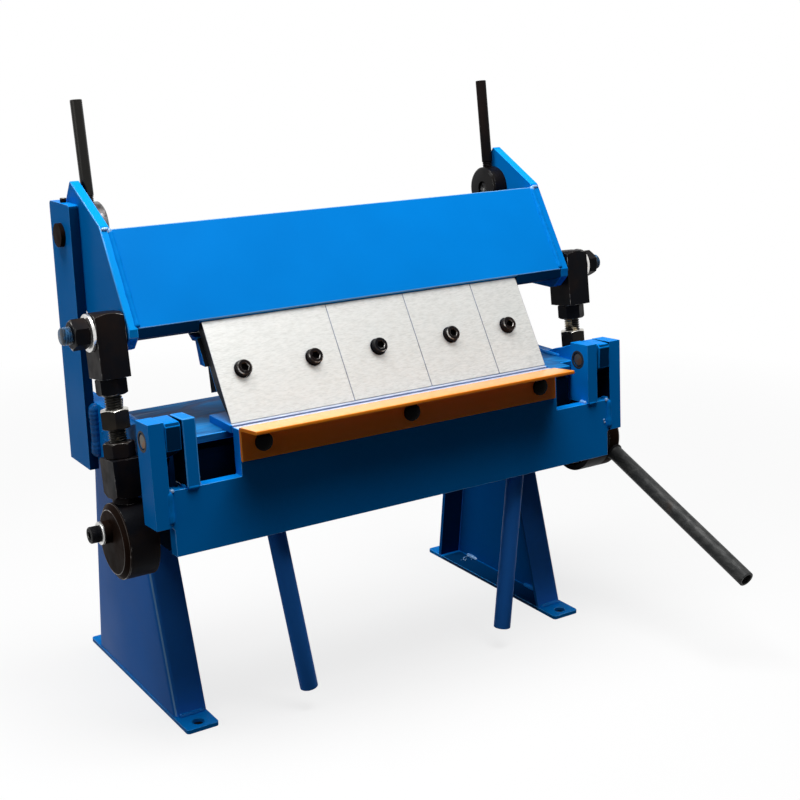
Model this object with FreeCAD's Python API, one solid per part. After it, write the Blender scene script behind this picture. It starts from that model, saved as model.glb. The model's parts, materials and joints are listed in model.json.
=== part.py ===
"""Box and pan brake for a bench: frame, folding leaf, finger beam, clamp links.

All lengths are in millimetres and all angles in degrees. While the pieces are
drawn, X runs along the bend with 0 in the middle, Y is measured back from the
bend line and Z up from the bench. On export everything moves forward so that
the part's origin is the middle of the four foot bolts, on the bench.
"""

import math
import os

import FreeCAD
import Part
from FreeCAD import Vector

# Bend line and bed
bed_top_z = 250.0
hinge_z = 250.5
jaw_half_x = 154.0
jaw_depth = 37.0
jaw_thick = 6.0
bed_plate_thick = 6.0
bed_front_y = 8.0
bed_rear_y = 105.0
ear_pocket_x = 186.0
ear_pocket_y = 21.5
front_bar_y = (10.0, 14.0, 34.0)
front_bar_z = (206.0, 232.0)

# Legs and feet
web_outer_x = 200.4
leg_inner_x = 173.1
leg_sheet = 4.0
leg_bend_inner_r = 1.0
leg_front_y = 33.0
leg_rear_y = 200.0
leg_front_slope = 0.314
leg_rear_slope = 0.123
foot_x = (173.0, 201.0)
foot_y = (8.7, 218.7)
foot_thick = 3.5
foot_hole_x = 187.0
foot_hole_y = (18.7, 208.7)
foot_hole_r = 5.0
foot_corner_r = 3.0
foot_centre_y = sum(foot_hole_y) / 2.0

# Cheek plates and upright bars
cheek_outer_x = 212.4
cheek_z = (200.0, 249.2)
cheek_rear_y = 176.0
nose_front_y = -14.0
nose_z = (243.5, 264.5)
upright_outer_x = 220.4
upright_y = (130.1, 174.4)
upright_z = (192.3, 409.0)
upright_corner = 3.0
lock_screw_y = 152.5
lock_screw_r = 2.5
lock_screw_proud = 3.5

# Finger beam
side_plate_x = (204.0, 212.0)
beam_lean = 32.15
beam_plate_thick = 8.0
beam_plate_foot = (44.5, 323.8)
beam_plate_height = 83.0
beam_bar_rise = 4.0
tilt_axis = (151.4, 384.8)
finger_lean = 31.6
finger_tip_y = 3.0
finger_tip_gap = 0.3
finger_thick = 9.0
finger_height = 84.0
finger_widths = {"finger_110": 110.0, "finger_75": 75.0, "finger_70": 70.0, "finger_50": 50.0}
finger_row_x = -151.5
finger_side_gap = 0.1
finger_nose_height = 28.0
finger_nose_depth = 0.6
screw_height = 41.3
wide_finger_screw_pitch = 63.0
finger_screw_offset = -1.2
screw_head_r = 6.5
screw_head_height = 8.0
screw_shank_r = 4.0
screw_grip = 13.5
screw_sunk = 2.5
screw_counterbore_r = 7.0
screw_socket_af = 6.0
screw_socket_depth = 4.0
holder_half_x = 155.0
holder_low_half_x = 151.5
finger_bay_half_x = 154.4

# Setback cams
journal_r = 9.5
journal_proud = 3.7
cam_eccentric = 1.2
cam_eccentric_r = 10.5
journal_z = tilt_axis[1] - cam_eccentric
cam_bush_clearance = 0.3
bush_wall = 2.8
cam_disc_x = (189.5, 203.7)
cam_disc_centre = (144.5, 389.0)
cam_disc_r = 19.5
cam_recess_r = 6.5
cam_recess_depth = 4.0
setback_rod_x = 197.5
setback_rod_r = 4.8
setback_rod_top = (158.0, 487.5)
setback_rod_seat = 9.0

# Clamp links
link_pivot = (60.0, 322.5)
eye_centre = (38.5, 163.0)
link_block_x = (213.4, 236.4)
link_block_depth = 28.0
link_rod_r = 7.0
link_rod_s = (14.0, 118.0)
upper_block_s = (-14.0, 35.5)
lock_nut_s = (35.5, 48.5)
turning_nut_s = (59.5, 74.5)
collar_nut_s = (84.8, 96.8)
lower_block_s = (97.0, 127.6)
neck_r = 10.0
eye_outer_r = 30.0
eye_bore_r = 25.2
eye_x = (213.0, 236.0)
nut_af = 21.0
nut_turns = (30.0, 50.5, 15.0)
stud_r = 7.0
stud_end_x = 259.0
link_washer_r = 14.5
link_washer_x = (236.6, 239.1)
link_nut_x = (239.1, 251.6)

# Clamp shaft and eccentrics
shaft_throw = 9.0
shaft_throw_angle = 36.0
clamp_shaft_r = 9.0
eccentric_disc_r = 24.2
eccentric_flange_x = (236.3, 240.0)
eccentric_hub_x = (236.3, 251.0)
shaft_left_end_x = -246.0
shaft_right_end_x = 246.0
retaining_washer_thick = 1.6
bracket_x = (186.5, 196.4)
bracket_floor_z = 148.0
bracket_front_y = 22.0
handle_plane_x = 243.7
handle_drop = 22.5
handle_length = 213.0
handle_r = 7.1
handle_bore_r = 5.0

# Folding leaf
leaf_tilt = 3.3
leaf_y = (-12.0, -1.5)
leaf_top = -1.6
leaf_floor = -89.2
leaf_half_x = 210.6
leaf_notch_x = 153.0
leaf_notch_floor = -38.0
outer_ear_x = (212.8, 225.3)
inner_ear_x = (187.7, 198.4)
ear_y = (-13.3, 9.6)
ear_top = 14.5
outer_ear_floor = -65.8
hinge_pin_r = 7.0
angle_x = (-152.9, 149.8)
angle_top = 0.4
angle_leg = 26.8
angle_shelf = 28.8
angle_rise = 3.3
angle_thick = 3.0
angle_bolt_x = (-134.5, 0.0, 132.0)
angle_bolt_z = -13.2
angle_bolt_head_r = 7.2
angle_bolt_head_height = 4.6
angle_bolt_shank_r = 3.0
angle_bolt_grip = 11.0
leaf_handle_r = 7.5
leaf_handle_bore_r = 5.7
leaf_handle_top = (125.0, -50.0)
leaf_handle_end = (98.9, -231.5)

# Clearances
running_fit = 0.06

saved_nodes = []


def polygon_face(points):
    """Return a face through the given vectors."""
    return Part.Face(Part.makePolygon(list(points) + [points[0]]))


def profile_yz(points, x_low, x_high):
    """Extrude a (Y, Z) outline along X."""
    face = polygon_face([Vector(x_low, y, z) for y, z in points])
    return face.extrude(Vector(x_high - x_low, 0, 0))


def outline_xz(points, y_low, y_high):
    """Extrude an (X, Z) outline along Y."""
    face = polygon_face([Vector(x, y_low, z) for x, z in points])
    return face.extrude(Vector(0, y_high - y_low, 0))


def block(x_span, y_span, z_span):
    """Return a box between the given limits."""
    size = [abs(span[1] - span[0]) for span in (x_span, y_span, z_span)]
    corner = Vector(min(x_span), min(y_span), min(z_span))
    return Part.makeBox(size[0], size[1], size[2], corner)


def round_x(centre, radius, x_low, x_high):
    """Return a cylinder along X about a (Y, Z) centre."""
    return Part.makeCylinder(radius, x_high - x_low, Vector(x_low, centre[0], centre[1]),
                             Vector(1, 0, 0))


def turned_x(centre, steps):
    """Turn a solid about X from (x, radius) steps."""
    first, last = steps[0][0], steps[-1][0]
    ring = [(first, 0.0)] + list(steps) + [(last, 0.0)]
    face = polygon_face([Vector(x, centre[0] + radius, centre[1]) for x, radius in ring])
    return face.revolve(Vector(0, centre[0], centre[1]), Vector(1, 0, 0), 360)


def hexagon(across_flats, base, direction, height, chamfer=True):
    """Return a hexagonal prism with its two ends turned to 30 degrees."""
    corner_r = across_flats / math.sqrt(3.0)
    points = [Vector(corner_r * math.cos(math.radians(60 * k)),
                     corner_r * math.sin(math.radians(60 * k)), 0) for k in range(6)]
    prism = polygon_face(points).extrude(Vector(0, 0, height))
    if chamfer:
        drop = (corner_r - across_flats / 2.0 + 0.2) * math.tan(math.radians(30))
        flat_r = across_flats / 2.0 - 0.2
        ring = [(0, 0), (flat_r, 0), (corner_r, drop), (corner_r, height - drop),
                (flat_r, height), (0, height)]
        face = polygon_face([Vector(radius, 0, level) for radius, level in ring])
        prism = prism.common(face.revolve(Vector(0, 0, 0), Vector(0, 0, 1), 360))
    prism.Placement = FreeCAD.Placement(base, FreeCAD.Rotation(Vector(0, 0, 1), direction))
    return prism


def cap_screw(seat, outward, grip, shank_r=screw_shank_r, head_r=screw_head_r,
              head_height=screw_head_height, socket_af=screw_socket_af):
    """Return a socket head screw whose head sits on seat and points outward."""
    head = Part.makeCylinder(head_r, head_height, seat, outward)
    rim = [edge for edge in head.Edges if edge.Curve.TypeId == "Part::GeomCircle"
           and (edge.Curve.Center - seat).Length > head_height / 2.0]
    head = head.makeChamfer(head_r * 0.08, rim)
    mouth = seat + outward * (head_height - screw_socket_depth)
    head = head.cut(hexagon(socket_af, mouth, outward, screw_socket_depth + 1.0, False))
    shank = Part.makeCylinder(shank_r, grip, seat - outward * grip, outward)
    return head.fuse(shank).removeSplitter()


def mirrored(shape):
    """Return the shape mirrored in the mid-plane of the brake."""
    return shape.mirror(Vector(0, 0, 0), Vector(1, 0, 0))


def rounded_edges(shape, radius, wanted):
    """Round the straight edges whose middle and direction satisfy wanted."""
    chosen = []
    for edge in shape.Edges:
        if edge.Curve.TypeId == "Part::GeomLine":
            start, end = edge.Vertexes[0].Point, edge.Vertexes[-1].Point
            if wanted((start + end) * 0.5, (end - start).normalize()):
                chosen.append(edge)
    return shape.makeFillet(radius, chosen)


def save(node, *shapes):
    """Move the pieces to the part's own origin and write them as one node."""
    solids = []
    for shape in shapes:
        moved = shape.copy()
        moved.translate(Vector(0, -foot_centre_y, 0))
        solids.extend(moved.Solids)
    result = solids[0] if len(solids) == 1 else Part.makeCompound(solids)
    result.exportStep("parts/" + node + ".step")
    saved_nodes.append(node)
    volume = sum(solid.Volume for solid in solids) / 1000.0
    print(f"{node}: {len(solids)} solid(s), {volume:.2f} cm3, valid {result.isValid()}")


def save_pair(name, shape):
    """Write a right-hand piece and its mirror image as two nodes."""
    save("right_" + name, shape)
    save("left_" + name, mirrored(shape))


def leg_edge_y(level, rear=False):
    """Return where the leg's front or rear edge is at a height."""
    rise = level - foot_thick
    return leg_rear_y - rise * leg_rear_slope if rear else leg_front_y + rise * leg_front_slope


def build_legs():
    """Folded channel legs, open towards the middle, on welded foot plates."""
    low, high = foot_thick, bed_top_z - jaw_thick - bed_plate_thick
    corners = [(leg_edge_y(low), low), (leg_edge_y(low, True), low),
               (leg_edge_y(high, True), high), (leg_edge_y(high), high)]
    outside = profile_yz(corners, leg_inner_x, web_outer_x)
    front_step = leg_sheet / math.cos(math.atan(leg_front_slope))
    rear_step = leg_sheet / math.cos(math.atan(leg_rear_slope))
    inside = profile_yz([(corners[0][0] + front_step, low), (corners[1][0] - rear_step, low),
                         (corners[2][0] - rear_step, high), (corners[3][0] + front_step, high)],
                        leg_inner_x - 1.0, web_outer_x - leg_sheet)
    leg = outside.cut(inside)
    for face_x, bend_r in ((web_outer_x, leg_bend_inner_r + leg_sheet),
                           (web_outer_x - leg_sheet, leg_bend_inner_r)):
        leg = rounded_edges(leg, bend_r, lambda middle, way: abs(way.z) > 0.9
                            and abs(middle.x - face_x) < 0.1)
    save_pair("leg", leg)

    plate = block(foot_x, foot_y, (0, foot_thick))
    plate = rounded_edges(plate, foot_corner_r, lambda middle, way: abs(way.z) > 0.9)
    for hole_y in foot_hole_y:
        plate = plate.cut(Part.makeCylinder(foot_hole_r, foot_thick, Vector(foot_hole_x, hole_y, 0)))
    save_pair("foot_plate", plate)


def build_cheeks():
    """Thick end plates with the hinge nose in front, and the upright bars behind."""
    floor_z, roof_z = cheek_z
    outline = [(nose_front_y, nose_z[0]), (nose_front_y, nose_z[1] - 2.5),
               (nose_front_y + 2.5, nose_z[1]), (9.0, nose_z[1]), (19.0, 260.0), (40.0, 252.2),
               (47.0, 250.5), (54.5, 247.7), (64.0, 244.8), (84.0, 244.8), (108.0, 248.6),
               (130.0, roof_z), (cheek_rear_y, roof_z), (cheek_rear_y, floor_z),
               (30.0, floor_z), (16.0, 214.0), (8.0, 232.0)]
    cheek = profile_yz(outline, web_outer_x, cheek_outer_x)
    cheek = cheek.cut(round_x((0.0, hinge_z), hinge_pin_r + running_fit, web_outer_x, cheek_outer_x))
    save_pair("cheek_plate", cheek)

    upright = block((cheek_outer_x, upright_outer_x), upright_y, upright_z)
    upright = rounded_edges(upright, upright_corner, lambda middle, way: abs(way.x) > 0.9
                            and middle.z > upright_z[1] - 1.0)
    upright = upright.cut(round_x((tilt_axis[0], journal_z), journal_r + running_fit,
                                  cheek_outer_x, upright_outer_x))
    screw_x = (cheek_outer_x + upright_outer_x) / 2.0
    screw_floor = journal_z + journal_r + 1.0
    tapping = Part.makeCylinder(lock_screw_r, upright_z[1] - screw_floor,
                                Vector(screw_x, lock_screw_y, screw_floor))
    save_pair("upright_bar", upright.cut(tapping))

    seat = Vector(screw_x, lock_screw_y, upright_z[1])
    screw = cap_screw(seat, Vector(0, 0, 1), upright_z[1] - screw_floor - 0.5, lock_screw_r,
                      lock_screw_r, lock_screw_proud, 2.5)
    save("cam_lock_screws", screw, mirrored(screw))


def build_bed():
    """Bed plate, its stiffening bar and the hardened jaw strip on top."""
    plate_top = bed_top_z - jaw_thick
    plate_floor = plate_top - bed_plate_thick
    plate = block((-web_outer_x, web_outer_x), (bed_front_y, bed_rear_y), (plate_floor, plate_top))
    back, step, rear = front_bar_y
    floor_z, lip_z = front_bar_z
    bar = profile_yz([(back, floor_z), (rear, floor_z), (rear, plate_floor), (step, plate_floor),
                      (step, lip_z), (back, lip_z)], -bracket_x[0], bracket_x[0])
    for side in (-1, 1):
        pocket = block((side * ear_pocket_x, side * (web_outer_x + 1)), (0, ear_pocket_y),
                       (floor_z - 1, plate_top + 1))
        plate = plate.cut(pocket)
        bar = bar.cut(pocket)
    save("bed_top_plate", plate)
    save("bed_front_bar", bar)
    save("lower_jaw_strip", block((-jaw_half_x, jaw_half_x), (0, jaw_depth), (plate_top, bed_top_z)))

    roof = plate_floor
    outline = [(bracket_front_y, roof), (leg_edge_y(roof), roof),
               (leg_edge_y(bracket_floor_z), bracket_floor_z),
               (bracket_front_y + 10, bracket_floor_z), (bracket_front_y, bracket_floor_z + 10)]
    bracket = profile_yz(outline, *bracket_x)
    bracket = bracket.cut(round_x(shaft_axis(), clamp_shaft_r + running_fit, *bracket_x))
    save_pair("shaft_bracket", bracket)


def slope_point(height, depth, lean=finger_lean, foot=None):
    """Return the (Y, Z) point at a height up the finger slope and a depth behind it."""
    foot = foot or (finger_tip_y, bed_top_z + finger_tip_gap)
    sine, cosine = math.sin(math.radians(lean)), math.cos(math.radians(lean))
    return foot[0] + height * sine + depth * cosine, foot[1] + height * cosine - depth * sine


def finger_spans():
    """Return each finger's name with its X limits and its screw positions."""
    spans, left = [], finger_row_x
    for name, width in finger_widths.items():
        middle = left + width / 2.0 + finger_screw_offset
        if width == max(finger_widths.values()):
            half = wide_finger_screw_pitch / 2.0
            screws = [middle - half, middle + half]
        else:
            screws = [middle]
        spans.append((name, left + finger_side_gap, left + width - finger_side_gap, screws))
        left += width
    return spans


def build_fingers():
    """Fingers of different widths, each held to the holder bar by cap screws."""
    lean = math.radians(finger_lean)
    outward = Vector(0, -math.cos(lean), math.sin(lean))
    heel = finger_thick - finger_nose_depth
    side = [slope_point(0, 0), slope_point(finger_height, 0),
            slope_point(finger_height, finger_thick), slope_point(finger_nose_height + 2, finger_thick),
            slope_point(finger_nose_height, heel)]
    screws, shank_holes = [], []
    for name, low_x, high_x, places in finger_spans():
        finger = profile_yz(side, low_x, high_x)
        for place in places:
            seat_y, seat_z = slope_point(screw_height, screw_sunk)
            seat = Vector(place, seat_y, seat_z)
            screws.append(cap_screw(seat, outward, screw_grip))
            hole = Part.makeCylinder(screw_shank_r, screw_grip, seat - outward * screw_grip, outward)
            shank_holes.append(hole)
            counterbore = Part.makeCylinder(screw_counterbore_r, screw_sunk, seat, outward)
            finger = finger.cut(hole).cut(counterbore)
        save(name, finger)
    save("finger_screws", *screws)

    holder = profile_yz([slope_point(finger_nose_height + 2, finger_thick), (36.0, 267.5),
                         (39.5, 288.3), (46.0, 287.4), (52.6, 306.2), (58.3, 305.5), (65.5, 310.0),
                         slope_point(74.5, finger_thick)], -holder_half_x, holder_half_x)
    for direction in (-1, 1):
        holder = holder.cut(block((direction * holder_low_half_x, direction * (holder_half_x + 1)),
                                  (0, 80), (260, 288.5)))
    for hole in shank_holes:
        holder = holder.cut(hole)
    save("finger_holder_bar", holder)
    return holder


def build_beam():
    """Tilting beam: front plate, bottom bar, end plates, bushes and link studs."""
    holder = build_fingers()
    inner_x, outer_x = side_plate_x
    foot = beam_plate_foot
    front = [slope_point(0, 0, beam_lean, foot), slope_point(beam_plate_height, 0, beam_lean, foot),
             slope_point(beam_plate_height, beam_plate_thick, beam_lean, foot),
             slope_point(0, beam_plate_thick, beam_lean, foot)]
    save("beam_front_plate", profile_yz(front, -inner_x, inner_x))

    plate_heel = slope_point(0, beam_plate_thick, beam_lean, foot)
    plate_back = slope_point(beam_bar_rise, beam_plate_thick, beam_lean, foot)
    bar = profile_yz([foot, (45.0, 316.5), (55.0, 313.0), (65.5, 310.0), (74.0, 312.5),
                      (74.0, plate_back[1]), plate_back, plate_heel], -inner_x, inner_x)
    bay = profile_yz([slope_point(60, -8), slope_point(finger_height + 0.6, -8),
                      slope_point(finger_height + 0.6, finger_thick), slope_point(60, finger_thick)],
                     -finger_bay_half_x, finger_bay_half_x)
    save("beam_bottom_bar", bar.cut(bay).cut(holder))

    outline = [(147.4, 425.9), (90.1, 396.4), foot, (44.5, 317.0), (54.0, 306.8), (60.0, 305.0),
               (108.0, 305.0), (150.0, 338.0), (171.0, 368.0), (171.0, 394.0), (158.5, 411.0)]
    plate = profile_yz(outline, inner_x, outer_x)
    bush_bore_r = cam_eccentric_r + cam_bush_clearance
    bush_r = bush_bore_r + bush_wall
    plate = plate.cut(round_x(tilt_axis, bush_r + running_fit, inner_x, outer_x))
    plate = plate.cut(round_x(link_pivot, stud_r, inner_x, outer_x))
    save_pair("side_plate", plate)

    bush = round_x(tilt_axis, bush_r, inner_x, outer_x)
    bush = bush.cut(round_x(tilt_axis, bush_bore_r, inner_x, outer_x))
    save("pivot_bushes", bush, mirrored(bush))

    stud = round_x(link_pivot, stud_r, inner_x, stud_end_x)
    washer = round_x(link_pivot, link_washer_r, *link_washer_x).cut(stud)
    nut = hexagon(nut_af, Vector(link_nut_x[0], *link_pivot), Vector(1, 0, 0),
                  link_nut_x[1] - link_nut_x[0]).cut(stud)
    save("link_studs", stud, mirrored(stud))
    save("link_stud_washers", washer, mirrored(washer))
    save("link_stud_nuts", nut, mirrored(nut))


def build_setback():
    """Setback cams: disc, eccentric and journal in one, each with its lever rod."""
    journal = (tilt_axis[0], journal_z)
    disc = turned_x(cam_disc_centre, [(cam_disc_x[0], cam_disc_r - 1.5),
                                      (cam_disc_x[0] + 1.5, cam_disc_r),
                                      (cam_disc_x[1], cam_disc_r)])
    disc = disc.cut(round_x(cam_disc_centre, cam_recess_r, cam_disc_x[0],
                            cam_disc_x[0] + cam_recess_depth))
    lobe = round_x(tilt_axis, cam_eccentric_r, cam_disc_x[1], side_plate_x[1])
    end = round_x(journal, journal_r, side_plate_x[1], upright_outer_x + journal_proud)
    cam = disc.fuse([lobe, end]).removeSplitter()
    centre = Vector(setback_rod_x, *cam_disc_centre)
    top = Vector(setback_rod_x, *setback_rod_top)
    way = (top - centre).normalize()
    rod = Part.makeCylinder(setback_rod_r, (top - centre).Length - setback_rod_seat,
                            centre + way * setback_rod_seat, way)
    save_pair("setback_cam", cam.cut(rod))
    save_pair("setback_rod", rod)


def link_placement():
    """Return where a link drawn straight down from its pivot really lies."""
    run, drop = link_pivot[0] - eye_centre[0], link_pivot[1] - eye_centre[1]
    turn = FreeCAD.Rotation(Vector(1, 0, 0), -math.degrees(math.atan2(run, drop)))
    return FreeCAD.Placement(Vector(0, *link_pivot), turn)


def placed(shape):
    """Put a piece of a straight link where the link lies."""
    moved = shape.copy()
    moved.Placement = link_placement().multiply(moved.Placement)
    return moved


def build_links():
    """Adjustable links from the beam down to the eccentrics."""
    middle_x = sum(link_block_x) / 2.0
    half_depth = link_block_depth / 2.0
    length = math.hypot(link_pivot[0] - eye_centre[0], link_pivot[1] - eye_centre[1])
    corner_r = math.hypot(middle_x - link_block_x[0], half_depth) + 0.3
    rod = Part.makeCylinder(link_rod_r, link_rod_s[1] - link_rod_s[0],
                            Vector(middle_x, 0, -link_rod_s[1]))

    def turned_block(span, top_chamfer, floor_chamfer):
        """Square block with its ends chamfered in a lathe."""
        body = block(link_block_x, (-half_depth, half_depth), (-span[1], -span[0]))
        small_r = half_depth - 0.8
        ring = [(0, -span[0]), (small_r, -span[0]), (corner_r, -span[0] - top_chamfer),
                (corner_r, -span[1] + floor_chamfer), (small_r, -span[1]), (0, -span[1])]
        face = polygon_face([Vector(middle_x + radius, 0, level) for radius, level in ring])
        return body.common(face.revolve(Vector(middle_x, 0, 0), Vector(0, 0, 1), 360)).cut(rod)

    upper = turned_block(upper_block_s, 3.0, 0.3)
    upper = upper.cut(round_x((0, 0), stud_r + running_fit, *link_block_x))
    save_pair("link_upper_block", placed(upper))
    save_pair("link_rod", placed(rod))

    nuts = []
    for (low, high), turn in zip((lock_nut_s, turning_nut_s, collar_nut_s), nut_turns):
        nut = hexagon(nut_af, Vector(middle_x, 0, -high), Vector(0, 0, 1), high - low)
        nut.rotate(Vector(middle_x, 0, 0), Vector(0, 0, 1), turn)
        nuts.append(placed(nut.cut(rod)))
    save("right_link_nuts", *nuts)
    save("left_link_nuts", *[mirrored(nut) for nut in nuts])

    lower = turned_block(lower_block_s, 0.3, 3.5)
    neck = Part.makeCylinder(neck_r, length - eye_bore_r - lower_block_s[1] - 1.0,
                             Vector(middle_x, 0, -length + eye_bore_r + 1.0))
    eye = round_x((0, -length), eye_outer_r, *eye_x)
    lower = lower.fuse([neck, eye]).cut(round_x((0, -length), eye_bore_r, *eye_x))
    save_pair("link_eye_block", placed(lower.removeSplitter()))


def shaft_axis():
    """Return the (Y, Z) axis of the clamp shaft, behind and above the eye centre."""
    angle = math.radians(shaft_throw_angle)
    return (eye_centre[0] + shaft_throw * math.sin(angle),
            eye_centre[1] + shaft_throw * math.cos(angle))


def build_clamp_shaft():
    """Cross shaft with an eccentric at each end, worked by one long handle."""
    axis = shaft_axis()
    shaft = round_x(axis, clamp_shaft_r, shaft_left_end_x, shaft_right_end_x)
    thread_grip = 14.0
    tapping = round_x(axis, screw_shank_r, shaft_left_end_x, shaft_left_end_x + thread_grip)
    save("clamp_shaft", shaft.cut(tapping))

    face_x = shaft_left_end_x - retaining_washer_thick
    screw = cap_screw(Vector(face_x, *axis), Vector(-1, 0, 0),
                      thread_grip - 1.0 + retaining_washer_thick)
    washer = round_x(axis, clamp_shaft_r, face_x, shaft_left_end_x)
    washer = washer.cut(round_x(axis, screw_shank_r, face_x, shaft_left_end_x))
    save("shaft_end_screw", screw)
    save("shaft_end_washer", washer)

    low, high = eccentric_flange_x
    chamfer = eye_outer_r - eccentric_disc_r - 0.8
    plain = turned_x(eye_centre, [(eye_x[0] - 6.0, eccentric_disc_r - 8.0),
                                  (eye_x[0] - 0.3, eccentric_disc_r - 8.0),
                                  (eye_x[0] - 0.3, eccentric_disc_r), (low, eccentric_disc_r),
                                  (low, eye_outer_r), (low + 0.4, eye_outer_r),
                                  (high, eye_outer_r - chamfer)])
    save("left_eccentric", mirrored(plain).cut(shaft))

    low, high = eccentric_hub_x
    hub = turned_x(eye_centre, [(eye_x[0] - 6.0, eccentric_disc_r - 8.0),
                                (eye_x[0] - 0.3, eccentric_disc_r - 8.0),
                                (eye_x[0] - 0.3, eccentric_disc_r), (low, eccentric_disc_r),
                                (low, eye_outer_r), (high - 4.0, eye_outer_r),
                                (high, eye_outer_r - 4.0)])
    save("right_eccentric", hub.cut(shaft))

    drop = math.radians(handle_drop)
    way = Vector(0, -math.cos(drop), -math.sin(drop))
    start = Vector(handle_plane_x, *eye_centre) + way * (eye_outer_r - 4.0)
    run = handle_length - eye_outer_r + 4.0
    tube = Part.makeCylinder(handle_r, run, start, way)
    tube = tube.cut(Part.makeCylinder(handle_bore_r, run, start, way))
    tube = tube.cut(round_x(eye_centre, eye_outer_r, low, high + 2.0))
    save("clamp_handle", tube)


def on_leaf(shape):
    """Put a piece drawn square to the leaf where the leaf hangs."""
    moved = shape.copy()
    moved.rotate(Vector(0, 0, 0), Vector(1, 0, 0), -leaf_tilt)
    moved.translate(Vector(0, 0, hinge_z))
    return moved


def build_leaf():
    """Folding leaf with its ears, hinge pins, edge angle and two handles."""
    half = [(leaf_notch_x, leaf_top), (leaf_notch_x, leaf_notch_floor),
            (outer_ear_x[0], leaf_notch_floor), (outer_ear_x[0], outer_ear_floor),
            (leaf_half_x, outer_ear_floor - 2.0), (leaf_half_x, leaf_floor)]
    outline = half + [(-x, z) for x, z in reversed(half)]
    leaf = outline_xz(outline, *leaf_y)

    face_y = leaf_y[0] - angle_thick
    holes = [Part.makeCylinder(angle_bolt_shank_r, angle_bolt_grip,
                               Vector(place, face_y, angle_bolt_z), Vector(0, 1, 0))
             for place in angle_bolt_x]
    rise = math.radians(angle_rise)
    shelf_end = (leaf_y[0] - angle_shelf * math.cos(rise), angle_top + angle_shelf * math.sin(rise))
    angle_floor = angle_top - angle_leg
    under_corner = angle_top - angle_thick / math.cos(rise) + angle_thick * math.tan(rise)
    angle = profile_yz([(leaf_y[0], angle_top), shelf_end,
                        (shelf_end[0] - angle_thick * math.sin(rise),
                         shelf_end[1] - angle_thick * math.cos(rise)),
                        (face_y, under_corner), (face_y, angle_floor), (leaf_y[0], angle_floor)],
                       *angle_x)
    bolts = []
    for hole, place in zip(holes, angle_bolt_x):
        leaf, angle = leaf.cut(hole), angle.cut(hole)
        dome = Part.makeCylinder(angle_bolt_head_r, angle_bolt_head_height,
                                 Vector(place, face_y - angle_bolt_head_height, angle_bolt_z),
                                 Vector(0, 1, 0))
        rim = [edge for edge in dome.Edges if edge.Curve.TypeId == "Part::GeomCircle"
               and edge.Curve.Center.y < face_y - 1.0]
        dome = dome.makeFillet(angle_bolt_head_height * 0.7, rim)
        bolts.append(on_leaf(dome.fuse(hole).removeSplitter()))
    save("leaf_plate", on_leaf(leaf))
    save("edge_angle", on_leaf(angle))
    save("edge_angle_bolts", *bolts)

    pin = round_x((0, 0), hinge_pin_r, inner_ear_x[0], outer_ear_x[1])
    for name, span, floor_z in (("outer_ear", outer_ear_x, outer_ear_floor),
                                ("inner_ear", inner_ear_x, leaf_notch_floor)):
        save_pair(name, on_leaf(block(span, ear_y, (floor_z, ear_top)).cut(pin)))
    save("hinge_pins", on_leaf(pin), on_leaf(mirrored(pin)))

    axis_y = leaf_y[1] + leaf_handle_r
    top = Vector(leaf_handle_top[0], axis_y, leaf_handle_top[1])
    end = Vector(leaf_handle_end[0], axis_y, leaf_handle_end[1])
    way = (end - top).normalize()
    tube = Part.makeCylinder(leaf_handle_r, (end - top).Length, top, way)
    tube = tube.cut(Part.makeCylinder(leaf_handle_bore_r, (end - top).Length, top, way))
    save_pair("leaf_handle", on_leaf(tube))


def main():
    """Build every piece."""
    os.makedirs("parts", exist_ok=True)
    build_legs()
    build_cheeks()
    build_bed()
    build_beam()
    build_setback()
    build_links()
    build_clamp_shaft()
    build_leaf()
    print(len(saved_nodes), "nodes")


main()
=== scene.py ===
"""Finishes, welds, fasteners and studio for a box and pan brake.

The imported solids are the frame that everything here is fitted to. Sizes in the
classes are millimetres as on a drawing: X along the bend from the middle, Y back
from the bend line, Z up from the bench. Meshes are metres in the frame's axes.
"""

import json
import logging
import math
from dataclasses import dataclass
from enum import Enum
from functools import cache, cached_property
from typing import Callable, Sequence

import bmesh
import bpy
import numpy as np
from mathutils import Matrix, Vector

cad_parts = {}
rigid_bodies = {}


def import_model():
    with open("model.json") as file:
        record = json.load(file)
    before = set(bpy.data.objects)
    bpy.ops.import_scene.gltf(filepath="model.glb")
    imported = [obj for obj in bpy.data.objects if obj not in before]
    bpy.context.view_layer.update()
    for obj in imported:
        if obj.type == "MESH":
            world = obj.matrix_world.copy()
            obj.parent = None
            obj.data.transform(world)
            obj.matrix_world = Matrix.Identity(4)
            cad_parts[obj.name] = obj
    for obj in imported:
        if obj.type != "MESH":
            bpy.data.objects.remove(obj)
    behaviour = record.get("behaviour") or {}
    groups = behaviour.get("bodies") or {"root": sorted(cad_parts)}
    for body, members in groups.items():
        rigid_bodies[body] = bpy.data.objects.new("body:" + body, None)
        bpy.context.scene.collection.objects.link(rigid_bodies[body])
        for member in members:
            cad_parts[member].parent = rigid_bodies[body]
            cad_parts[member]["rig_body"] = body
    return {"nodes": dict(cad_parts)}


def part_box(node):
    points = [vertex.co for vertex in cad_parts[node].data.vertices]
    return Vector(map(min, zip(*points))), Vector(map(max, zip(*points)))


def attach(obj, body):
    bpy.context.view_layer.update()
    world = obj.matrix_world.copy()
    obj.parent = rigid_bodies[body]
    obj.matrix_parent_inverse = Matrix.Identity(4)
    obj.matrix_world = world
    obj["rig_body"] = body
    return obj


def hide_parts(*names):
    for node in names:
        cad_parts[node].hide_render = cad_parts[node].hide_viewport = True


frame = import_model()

LOG = logging.getLogger("brake")
Array = np.ndarray
Pair = tuple[float, float]
Triple = tuple[float, float, float]
Socket = bpy.types.NodeSocket
Chooser = Callable[[Array, Array], Array]
MM = 0.001
TURN = 2.0 * math.pi
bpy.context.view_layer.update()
BEND_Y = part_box("lower_jaw_strip")[0].y


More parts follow.
